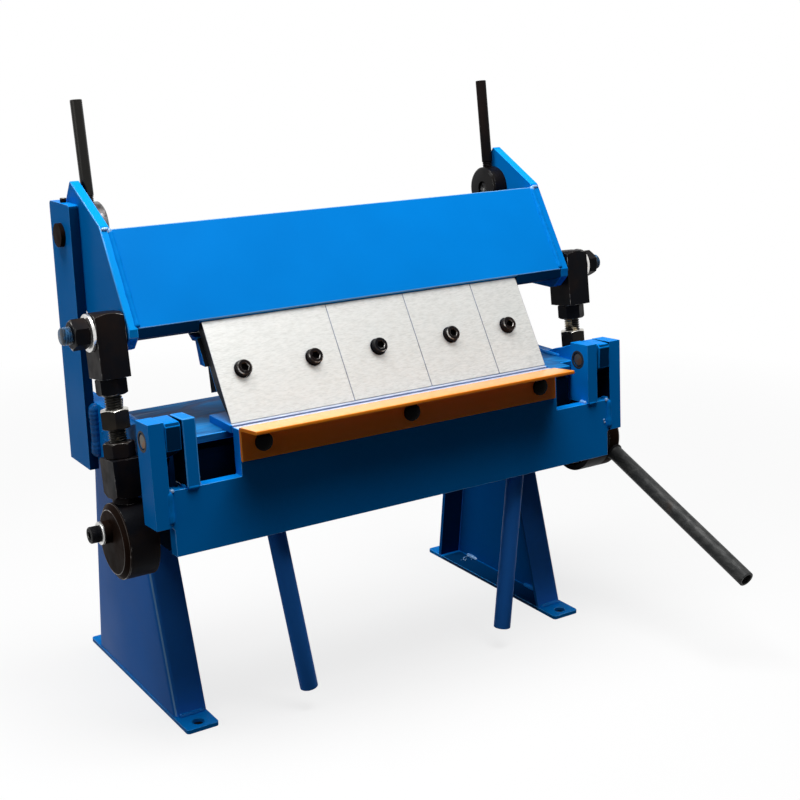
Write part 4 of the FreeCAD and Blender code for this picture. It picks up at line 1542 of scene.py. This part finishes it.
@dataclass
class ClampLinks:
    """Adjustable links: forged blocks, threaded rod and nuts on both sides."""

    pivot: Pair = (60.0, 322.5)
    eye: Pair = (38.5, 163.0)
    middle_x: float = 224.9
    rod_r: float = 7.0
    rod_from: float = 14.0
    rod_to: float = 118.0
    nut_flats: float = 21.0
    nuts: tuple[Triple, ...] = ((35.5, 48.5, 30.0), (59.5, 74.5, 50.5), (84.8, 96.8, 15.0))

    def build(self) -> None:
        """Make both links; a nut is its top and bottom below the pivot and its turn."""
        up = unit(np.array([0.0, *np.subtract(self.pivot, self.eye)]))
        for side in Side:
            for node in ("link_upper_block", "link_eye_block"):
                softened(f"{side.word}_{node}", 0.8, [BLACK, BLACK_EDGE])
            body, top = Body(side.word + "_link"), side.signs * (self.middle_x, *self.pivot)
            rod = Thread(self.rod_r, self.rod_to - self.rod_from).grid(Axis(top - up * self.rod_to, up))
            formed(side.word + "_link_rod_cut", rod, body, [ROD_THREAD], [side.word + "_link_rod"],
                   crease=60.0)
            grids = []
            for high, low, turn in self.nuts:
                across = Matrix.Rotation(math.radians(turn) * side.value, 3, Vector(up)) @ Vector((1, 0, 0))
                nut = HexNut(self.nut_flats, low - high, self.rod_r - 0.3)
                grids.append(nut.grid(Axis(top - up * low, up, across)))
            formed(side.word + "_link_nuts_cut", np.stack(grids), body,
                   [BLACK, NUT_BROWN, NUT_TOP_HIGHLIGHT, BLACK_EDGE], [side.word + "_link_nuts"],
                   choose=lambda centres, normals: self.nut_parts(centres, normals, up), along=True)

    def nut_parts(self, centres: Array, normals: Array, up: Array) -> Array:
        """Material of each face of the nuts.

        The nut in the middle, which sets the length, is brown with a painted highlight on its upward faces;
        the two lock nuts are black with lighter bevels.

        Args:
            centres: the faces' centres.
            normals: their normals.
            up: the way from eye to pivot.

        Returns:
            One index for each face.
        """
        below = (centres - (0.0, *self.pivot)) @ -up
        slant = normals @ up
        high, low, _ = self.nuts[1]
        middle = (below > high - 1.0) & (below < low + 1.0)
        bevel = (np.abs(slant) > 0.15) & (np.abs(slant) < 0.97)
        return np.where(middle, np.where(slant > 0.15, 2, 1), np.where(bevel, 3, 0))


@dataclass
class ClampShaft:
    """Cross shaft with its eccentrics, long handle and end screw."""

    eye: Pair = (38.5, 163.0)
    neck_r: float = 16.2
    disc_r: float = 24.2
    flange_r: float = 30.0
    inner_x: float = 207.0
    step_x: float = 212.7
    flange_x: float = 236.3
    left_face: Triple = (240.0, 25.2, 3.2)
    right_face: Triple = (251.0, 26.0, 4.0)
    rim_rows: tuple[int, ...] = (26, 27, 28, 29, 31, 32, 33, 34)
    handle_x: float = 243.7
    handle_drop: float = 22.5
    handle_length: float = 213.0
    handle_r: float = 7.1
    handle_bore: float = 5.0
    handle_sunk: float = 1.5

    def build(self) -> None:
        """Make the eccentrics, the handle with its root weld, the screw and washer."""
        softened("clamp_shaft", 0.4, [BLACK_BROWN, BLACK_EDGE])
        self.eccentric(Side.LEFT, *self.left_face)
        self.eccentric(Side.RIGHT, *self.right_face)
        self.handle()
        self.end_screw()

    def eccentric(self, side: Side, face_x: float, face_r: float, chamfer: float) -> None:
        """Turned profile: small boss, disc in the eye, flange and chamfered face, with painted glints on
        the rim's arcs.

        Args:
            side: which eccentric.
            face_x: where its outer face is.
            face_r: the face's radius.
            chamfer: how far the chamfer runs along X.
        """
        step, flange, face = (x - self.inner_x for x in (self.step_x, self.flange_x, face_x))
        profile = rounded([(0, 0), (self.neck_r, 0), (self.neck_r, step), (self.disc_r, step),
                           (self.disc_r, flange), (self.flange_r, flange), (self.flange_r, face - chamfer),
                           (face_r, face), (0, face)],
                          [0, 0.5, 0.3, 0.5, 0.3, 0.5, 1.1, 1.1, 0], 4, closed=False)
        axis = Axis(side.signs * (self.inner_x, *self.eye), (side.value, 0, 0))
        # The chamfer's rounded arcs take painted glints.
        formed(side.word + "_eccentric_turned", axis.turned(profile, 96), Body.CLAMP,
               [BLACK_BROWN, RIM_PAINTED_GLINT], [side.word + "_eccentric"], edge_rows=self.rim_rows, crease=40.0)

    def handle(self) -> None:
        """Open tube welded on the right hub.

        The root bead runs round the tube where it meets the hub's cylinder, lower by
        R - sqrt(R^2 - (r sin a)^2) at angle a.
        """
        drop = math.radians(self.handle_drop)
        way = np.array([0.0, -math.cos(drop), -math.sin(drop)])
        centre = np.array([self.handle_x, *self.eye])
        hub, radius = self.flange_r, self.handle_r
        start = hub - self.handle_sunk
        tube = Tube(radius, self.handle_bore, self.handle_length - start, 0.45)
        formed("clamp_handle_tube", tube.grid(Axis(centre + way * start, way)), Body.CLAMP, [SCALE],
               ["clamp_handle"], along=True)
        angle, side = angles(48)[:, None], np.array([1.0, 0.0, 0.0])
        rim = np.cos(angle) * side + np.sin(angle) * np.cross(way, side)
        hug = hub - np.sqrt(hub ** 2 - (radius * np.sin(angle)) ** 2)
        root = centre + way * (hub + 0.3 - hug) + rim * (radius - 0.3)
        bead = WeldBead(1.2, 2.2, 0.14, 0.10, 61).grid(root, rim + way, closed=True)
        weld_piece("handle_root_weld", Body.CLAMP, [bead], BLACK, ring=True)

    def end_screw(self) -> None:
        """Socket screw and bright washer on the shaft's left end."""
        low, high, (_, y, z) = drawn_box("shaft_end_washer")
        washer = Tube(0.5 * (high[2] - low[2]), 3.9, high[0] - low[0], 0.3)
        formed("shaft_washer_turned", washer.grid(Axis((high[0], y, z), (-1, 0, 0)), 60), Body.CLAMP,
               [BRIGHT], ["shaft_end_washer"], along=True)
        formed("shaft_screw_head", CapHead().grid(Axis((low[0], y, z), (-1, 0, 0))), Body.CLAMP,
               [BLACK, BLACK_EDGE], ["shaft_end_screw"], edge_rows=CapHead.EDGE_ROWS)


@dataclass
class FoldingLeaf:
    """Leaf plate with ears, hinge pins, edge angle and its two handles."""

    tilt: float = 3.3
    hinge_z: float = 250.5
    front: float = -12.0
    back: float = -1.5
    floor: float = -89.2
    notch_floor: float = -38.0
    ear_floor: float = -65.8
    inner_ear: Pair = (187.7, 198.4)
    outer_ear: Pair = (212.8, 225.3)
    pin_r: float = 7.0
    pin_chamfer: float = 1.5
    rim_proud: float = 0.14
    notch_x: float = 153.0
    drops_at: Triple = (208.0, -12.0, -58.0)
    angle_x: Pair = (-152.9, 149.8)
    angle_top: float = 0.4
    angle_leg: float = 26.8
    angle_shelf: float = 28.8
    angle_rise: float = 3.3
    angle_thick: float = 3.0
    angle_bend_r: float = 2.4
    angle_root_r: float = 1.2
    angle_edge_r: float = 0.8
    bolts: Triple = (-134.5, 0.0, 132.0)
    bolt_z: float = -13.2
    bolt_r: float = 7.2
    bolt_height: float = 4.6
    handle_r: float = 7.5
    handle_bore: float = 5.7
    handle_top: Pair = (125.0, -50.0)
    handle_end: Pair = (98.9, -231.5)
    handle_bead_x: float = 4.6

    def hung(self, points: Array) -> Array:
        """Move points drawn square to the leaf to where the leaf hangs.

        They turn by the leaf's tilt about the hinge line, which is then lifted to
        its height.

        Args:
            points: points with the hinge line as their origin.

        Returns:
            The points where they belong on the brake.
        """
        cosine, sine = math.cos(math.radians(self.tilt)), math.sin(math.radians(self.tilt))
        x, y, z = np.moveaxis(np.asarray(points, float), -1, 0)
        return np.stack([x, y * cosine + z * sine, self.hinge_z - y * sine + z * cosine], -1)

    def build(self) -> None:
        """Make everything that swings with the leaf."""
        softened("leaf_plate", 0.9, [BLUE, MOUTH, BLUE_EDGE_HIGHLIGHT], self.folding_edge)
        for side in Side:
            for ear, inward in (("outer_ear", -side.value), ("inner_ear", side.value)):
                # The ears' faces towards each other take painted deep shade; bevels a painted highlight.
                softened(f"{side.word}_{ear}", 1.0, [BLUE, BLUE_PAINTED_DEEP_SHADE, BLUE_EDGE_HIGHLIGHT],
                         lambda _, normals, way=inward: (normals[:, 0] * way > 0.8).astype(int))
        self.pins()
        self.edge_angle()
        self.angle_bolts()
        self.handles()
        self.welds()

    def folding_edge(self, centres: Array, normals: Array) -> Array:
        """Material 1, ground off, on the edge that folds the sheet and 0 elsewhere."""
        return ((normals[:, 2] > 0.9) & (np.abs(centres[:, 0]) < self.notch_x)).astype(int)

    def pins(self) -> None:
        """Hinge pins, chamfered and a hair below the ears' faces, with dark rings of painted shade at the
        bores.
        """
        (inside, _), (_, outside) = self.inner_ear, self.outer_ear
        length, side_r, face_r = outside - inside, self.pin_r - 0.1, self.pin_r - 1.8
        profile = rounded([(0, 0.25), (face_r, 0.3), (side_r, self.pin_chamfer),
                           (side_r, length - self.pin_chamfer), (face_r, length - 0.3), (0, length - 0.2)],
                          [0, 0.3, 0.3, 0.3, 0.3, 0], 3, closed=False)
        pin = Axis((inside, 0.0, 0.0), (1, 0, 0)).turned(profile)
        # The pin's chamfers and sides take painted shade.
        formed("hinge_pins_turned", self.hung(mirrored(pin)), Body.LEAF, [PIN_END, PIN_GAP_SHADE], ["hinge_pins"],
               edge_rows=range(1, len(profile) - 2))
        # Thin near-black rings round each pin on the ears' faces: painted shade of the gap.
        inner, outer = self.pin_r - 0.6, self.pin_r + 1.2
        ring = rounded([(inner, -0.3), (outer, -0.3), (outer, self.rim_proud), (inner, self.rim_proud)],
                       0.05, 2)
        rims = np.concatenate([mirrored(Axis((x, 0.0, 0.0), (way, 0, 0)).turned(ring))
                               for x, way in ((outside, 1), (inside, -1))])
        formed("pin_bore_rims", self.hung(rims), Body.LEAF, [PIN_GAP_SHADE], along=True)

    def edge_angle(self) -> None:
        """Folded angle: an L whose shelf rises a little, carried along X.

        The shelf's top leaves the bend at the rise angle, and its underside runs
        parallel to it until it meets the front of the upright leg.
        """
        front, top, t = self.front, self.angle_top, self.angle_thick
        rise, edge = math.radians(self.angle_rise), self.angle_edge_r
        away, down = np.array([[-math.cos(rise), math.sin(rise)], [-math.sin(rise), -math.cos(rise)]])
        tip = np.array([front, top]) + self.angle_shelf * away
        root = top - t / math.cos(rise) + t * math.tan(rise)
        section = rounded([(front, top), tip, tip + t * down, (front - t, root),
                           (front - t, top - self.angle_leg), (front, top - self.angle_leg)],
                          [self.angle_bend_r, edge, edge, self.angle_root_r, edge, edge], 6)
        x, y = np.meshgrid(np.linspace(*self.angle_x, 9), section[:, 0], indexing="ij")
        points = np.stack([x, y, np.broadcast_to(section[:, 1], x.shape)], -1)
        # Painted light on the shelf's upward faces and a painted highlight on the bevels.
        formed("edge_angle_rolled", self.hung(points), Body.LEAF, [ORANGE, ORANGE_LIT_TOP, ORANGE_EDGE_HIGHLIGHT],
               ["edge_angle"], 0.35, lambda _, normals: (normals[:, 2] > 0.8).astype(int), caps=True)

    def angle_bolts(self) -> None:
        """Low domed heads, each a turned arc with a short straight rim."""
        seat = self.front - self.angle_thick
        turn = 0.5 * math.pi * np.linspace(1.0, 0.0, 14)
        dome = np.stack([self.bolt_r * np.sin(turn), self.bolt_height * (0.35 + 0.65 * np.cos(turn))], -1)
        profile = np.vstack([[(0.0, -0.4), (self.bolt_r, -0.4)], dome])
        heads = np.stack([Axis((x, seat, self.bolt_z), (0, -1, 0)).turned(profile, 48) for x in self.bolts])
        formed("edge_angle_bolt_heads", self.hung(heads), Body.LEAF, [BOLT], ["edge_angle_bolts"],
               crease=50.0)

    def handle_line(self, side: Side, y: float) -> tuple[Array, Array]:
        """Top and end of a handle's line at a depth behind the hinge, square to the leaf."""
        return tuple(side.signs * (x, y, z) for x, z in (self.handle_top, self.handle_end))

    def handles(self) -> None:
        """Tubes that hang behind the leaf and lean outwards at the top."""
        for side in Side:
            top, end = self.handle_line(side, self.back + self.handle_r)
            tube = Tube(self.handle_r, self.handle_bore, float(np.linalg.norm(end - top)), 0.6)
            grid = tube.grid(Axis(top, unit(end - top), (0, 1, 0)))
            formed(side.word + "_leaf_handle_tube", self.hung(grid), Body.LEAF, [BLUE_SHEET],
                   [side.word + "_leaf_handle"], along=True)

    def welds(self) -> None:
        """Beads where ears and handles join the leaf, with blobs at their ends coloured pale as painted
        glints.
        """
        beads, blobs = [], []
        (near, far), (outer, _) = self.inner_ear, self.outer_ear
        front, back, notch, low = self.front, self.back, self.notch_floor, self.ear_floor + 1.5
        below, above = notch - 0.2, notch + 0.2
        down, base = WeldBead(3.0, 6.0, 0.03, 0.05, 71), WeldBead(1.7, 4.0, 0.04, 0.12, 72)
        # Blobs coloured pale as painted glints.
        glint_blob = WeldBead(2.1, 3.4, 0.08, 0.16, 74)
        ear_runs = (
            (down, (outer, front + 1.0, notch + 0.5), (outer, front + 1.0, low), (-0.4, -1, 0)),
            (base, (near + 0.5, front + 0.2, below), (far - 0.5, front + 0.2, below), (0, -1, -0.5)),
            (base, (far + 0.2, front + 1.0, above), (far + 0.2, back - 1.0, above), (1, 0, 1)),
            (base, (outer - 0.2, front + 1.0, above), (outer - 0.2, back - 1.0, above), (-1, 0, 1)),
            (down, (outer, back + 0.2, notch + 0.5), (outer, back + 0.2, low), (-0.4, 1, 0)))
        glint_runs = (
            (glint_blob, (near - 0.2, front + 0.8, notch + 0.4), (near - 0.2, back - 1.0, notch + 0.4),
             (-1, 0, 1)),
            (glint_blob, (outer - 4.5, front + 0.8, below), (outer - 0.5, front + 0.8, below), (0, -1, 0.5)))
        for side in Side:
            for made, runs in ((beads, ear_runs), (blobs, glint_runs)):
                made.extend(bead.grid(side.signs * [start, end], side.signs * out)
                            for bead, start, end, out in runs)
            beads.extend(self.handle_beads(side))
        blobs.append(Spatter(4, 3.0, (0.5, 1.1), 74).grid(self.drops_at, (0, -1, 0)))
        weld_piece("leaf_welds", Body.LEAF, [self.hung(bead) for bead in beads], BLUE)
        weld_piece("leaf_weld_blobs", Body.LEAF, [self.hung(blob) for blob in blobs], BLUE_PAINTED_GLINT)

    def handle_beads(self, side: Side) -> list[Array]:
        """Two beads along a handle where it lies against the leaf's back.

        Args:
            side: which handle.

        Returns:
            A grid for each bead, square to the leaf.
        """
        top, end = self.handle_line(side, self.back)
        way = unit(end - top)
        stop = top + way * ((self.handle_top[1] - self.floor) / abs(way[2]) - 4.0)
        behind = np.array([0.0, 1.0, 0.0])
        across = np.cross(way, behind)
        made = []
        for turn in (-1, 1):
            shift = across * turn * self.handle_bead_x + behind
            bead = WeldBead(2.1, 2.2, 0.12, 0.12, 77 + turn)
            made.append(bead.grid([top + way * 3.0 + shift, stop + shift], across * turn + 0.5 * behind))
        return made


@dataclass(frozen=True)
class Studio:
    """Pale floor, soft overhead lamp, window and the photograph's camera."""

    focal_px: float = 1360.2
    principal_px: Pair = (397.5, 403.1)
    picture_px: float = 800.0
    sensor: float = 36.0
    camera_at: Triple = (-0.5807, -1.0126, 0.5423)
    azimuth: float = 32.72
    elevation: float = -15.67
    roll: float = -1.04
    pale: float = 1.0
    floor_tone: float = 0.90
    floor_glow: float = 0.80
    floor_bounce: float = 0.035
    floor_radius: float = 6.0
    floor_z: float = -0.3
    blend_from: float = 0.55
    blend_to: float = 1.20
    fill: float = 0.030
    overhead_power: float = 37.0
    overhead_at: Triple = (-0.12, -0.20, 1.75)
    overhead_size: Pair = (1.5, 0.75)
    window_power: float = 3.5
    window_at: Triple = (-1.7, -0.2, 0.75)
    window_size: Pair = (0.8, 0.8)
    lamp_aim: Triple = (0.0, -0.05, 0.22)
    # Flat discs of painted shade under the feet's bolt holes.
    hole_r: float = 5.6
    hole_x: Pair = (-187.0, 187.0)
    hole_y: Pair = (-95.0, 95.0)
    hole_z: float = -0.1
    hole_dark: Triple = (0.010, 0.012, 0.014)
    hole_grey: Triple = (0.022, 0.022, 0.022)

    def background_rays(self, recipe: Recipe) -> Socket:
        """Tell rays that show the backdrop from rays that light the brake.

        Args:
            recipe: the tree that asks.

        Returns:
            One for rays from the camera, off gloss or through glass, else zero.
        """
        path = recipe.add("ShaderNodeLightPath", {}).outputs
        seen = recipe.math("MAXIMUM", path["Is Camera Ray"], path["Is Glossy Ray"])
        return recipe.math("MAXIMUM", seen, path["Is Transmission Ray"])

    def world(self) -> None:
        """Pale where it is seen, a weak even fill where it lights."""
        world = bpy.data.worlds.new("studio")
        bpy.context.scene.world = world
        recipe = Recipe(world)
        fill, pale = (self.fill, self.fill, self.fill * 1.05), (self.pale,) * 3
        colour = recipe.blend(self.background_rays(recipe), fill, pale)
        background = recipe.add("ShaderNodeBackground", {"Color": colour})
        recipe.close("ShaderNodeOutputWorld", background.outputs[0])

    def staged(self, name: str, points: Array, faces: list, material: bpy.types.Material) -> None:
        """Add a mesh that belongs to the studio and not to the brake.

        Args:
            name: its name.
            points: its points in metres.
            faces: its faces, as lists of points.
            material: its material.
        """
        mesh = bpy.data.meshes.new(name)
        mesh.from_pydata(points.tolist(), [], faces)
        mesh.materials.append(material)
        shown = bpy.data.objects.new(name, mesh)
        bpy.context.scene.collection.objects.link(shown)

    def bench_holes(self) -> None:
        """Painted shade in the feet's bolt holes: four flat dark discs on the floor under them."""
        recipe = Recipe(bpy.data.materials.new("bench_hole_dark"))
        dark = recipe.serve(recipe.blend(recipe.noise(2.0), self.hole_dark, self.hole_grey), 0.9, 0.0, 0.0)
        angle = angles(40)
        ring = self.hole_r * np.stack([np.cos(angle), np.sin(angle), 0.0 * angle], -1)
        points = np.concatenate([ring + (x, y, self.hole_z) for x in self.hole_x for y in self.hole_y]) * MM
        self.staged("bench_holes", points, np.arange(len(points)).reshape(-1, len(angle)).tolist(), dark)

    def floor(self) -> None:
        """Round floor that keeps the shadow and fades to the pale backdrop.

        The share of glow in its material grows with the distance from the brake.
        """
        recipe = Recipe(bpy.data.materials.new("pale_floor"))
        seen = self.background_rays(recipe)
        bounce, tone, fill, pale = ((value,) * 3 for value in (
            self.floor_bounce, self.floor_tone, self.fill, self.pale))
        matt = recipe.add("ShaderNodeBsdfDiffuse", {"Color": recipe.blend(seen, bounce, tone)})
        glow = recipe.add("ShaderNodeEmission", {"Color": recipe.blend(seen, fill, pale)})
        distance = recipe.add("ShaderNodeVectorMath", {0: recipe.coords}, operation="LENGTH")
        share = recipe.span(distance.outputs["Value"], self.blend_from, self.blend_to, self.floor_glow, 1.0)
        mix = recipe.add("ShaderNodeMixShader", {0: share, 1: matt.outputs[0], 2: glow.outputs[0]})
        material = recipe.close("ShaderNodeOutputMaterial", mix.outputs[0])
        centre = Axis((0.0, -BEND_Y / MM, self.floor_z), (0, 0, 1), (1, 0, 0))
        rings = centre.turned([(share * self.floor_radius / MM, 0.0) for share in (0.5, 1.0)])
        inner, outer = np.arange(rings.size // 3).reshape(2, -1)
        quads = np.stack([inner, np.roll(inner, -1), np.roll(outer, -1), outer], -1)
        self.staged("floor", to_frame(rings.reshape(-1, 3)), quads.tolist() + [inner.tolist()], material)

    def lamp(self, name: str, power: float, at: Triple, size: Pair) -> None:
        """Add an area lamp aimed at the brake.

        Args:
            name: its name.
            power: watts.
            at: its place in metres.
            size: its width and height in metres.
        """
        light = bpy.data.lights.new(name, "AREA")
        light.shape = "RECTANGLE"
        light.size, light.size_y = size
        light.energy = power
        lamp = bpy.data.objects.new(name, light)
        bpy.context.scene.collection.objects.link(lamp)
        lamp.location = at
        lamp.rotation_euler = (Vector(self.lamp_aim) - Vector(at)).to_track_quat("-Z", "Y").to_euler()

    def camera(self) -> None:
        """Camera at the photograph's place, lens and angle."""
        data = bpy.data.cameras.new("photograph")
        data.sensor_width = self.sensor
        data.lens = self.focal_px * self.sensor / self.picture_px
        data.shift_x = 0.5 - self.principal_px[0] / self.picture_px
        data.shift_y = self.principal_px[1] / self.picture_px - 0.5
        data.clip_end = 50.0
        camera = bpy.data.objects.new("photograph", data)
        bpy.context.scene.collection.objects.link(camera)
        camera.matrix_world = Matrix.Translation(self.camera_at)
        for angle, axis in ((-self.azimuth, "Z"), (90.0 + self.elevation, "X"), (self.roll, "Z")):
            camera.matrix_world @= Matrix.Rotation(math.radians(angle), 4, axis)
        bpy.context.scene.camera = camera

    def build(self) -> None:
        """Set up world, floor, lamps, camera and plain view settings."""
        self.world()
        self.floor()
        self.bench_holes()
        self.lamp("overhead", self.overhead_power, self.overhead_at, self.overhead_size)
        self.lamp("window", self.window_power, self.window_at, self.window_size)
        self.camera()
        bpy.context.scene.view_settings.view_transform = "Standard"


def main() -> None:
    """Build the brake's sub-assemblies in order, then the studio."""
    logging.basicConfig(level=logging.INFO, format="%(message)s")
    for assembly in (LegsAndFeet(), CheeksAndUprights(), Bed(), FingerBeam(), SetbackLevers(),
                     ClampLinks(), ClampShaft(), FoldingLeaf(), Studio()):
        LOG.info("building %s", type(assembly).__name__)
        assembly.build()


if __name__ == "__main__":
    main()
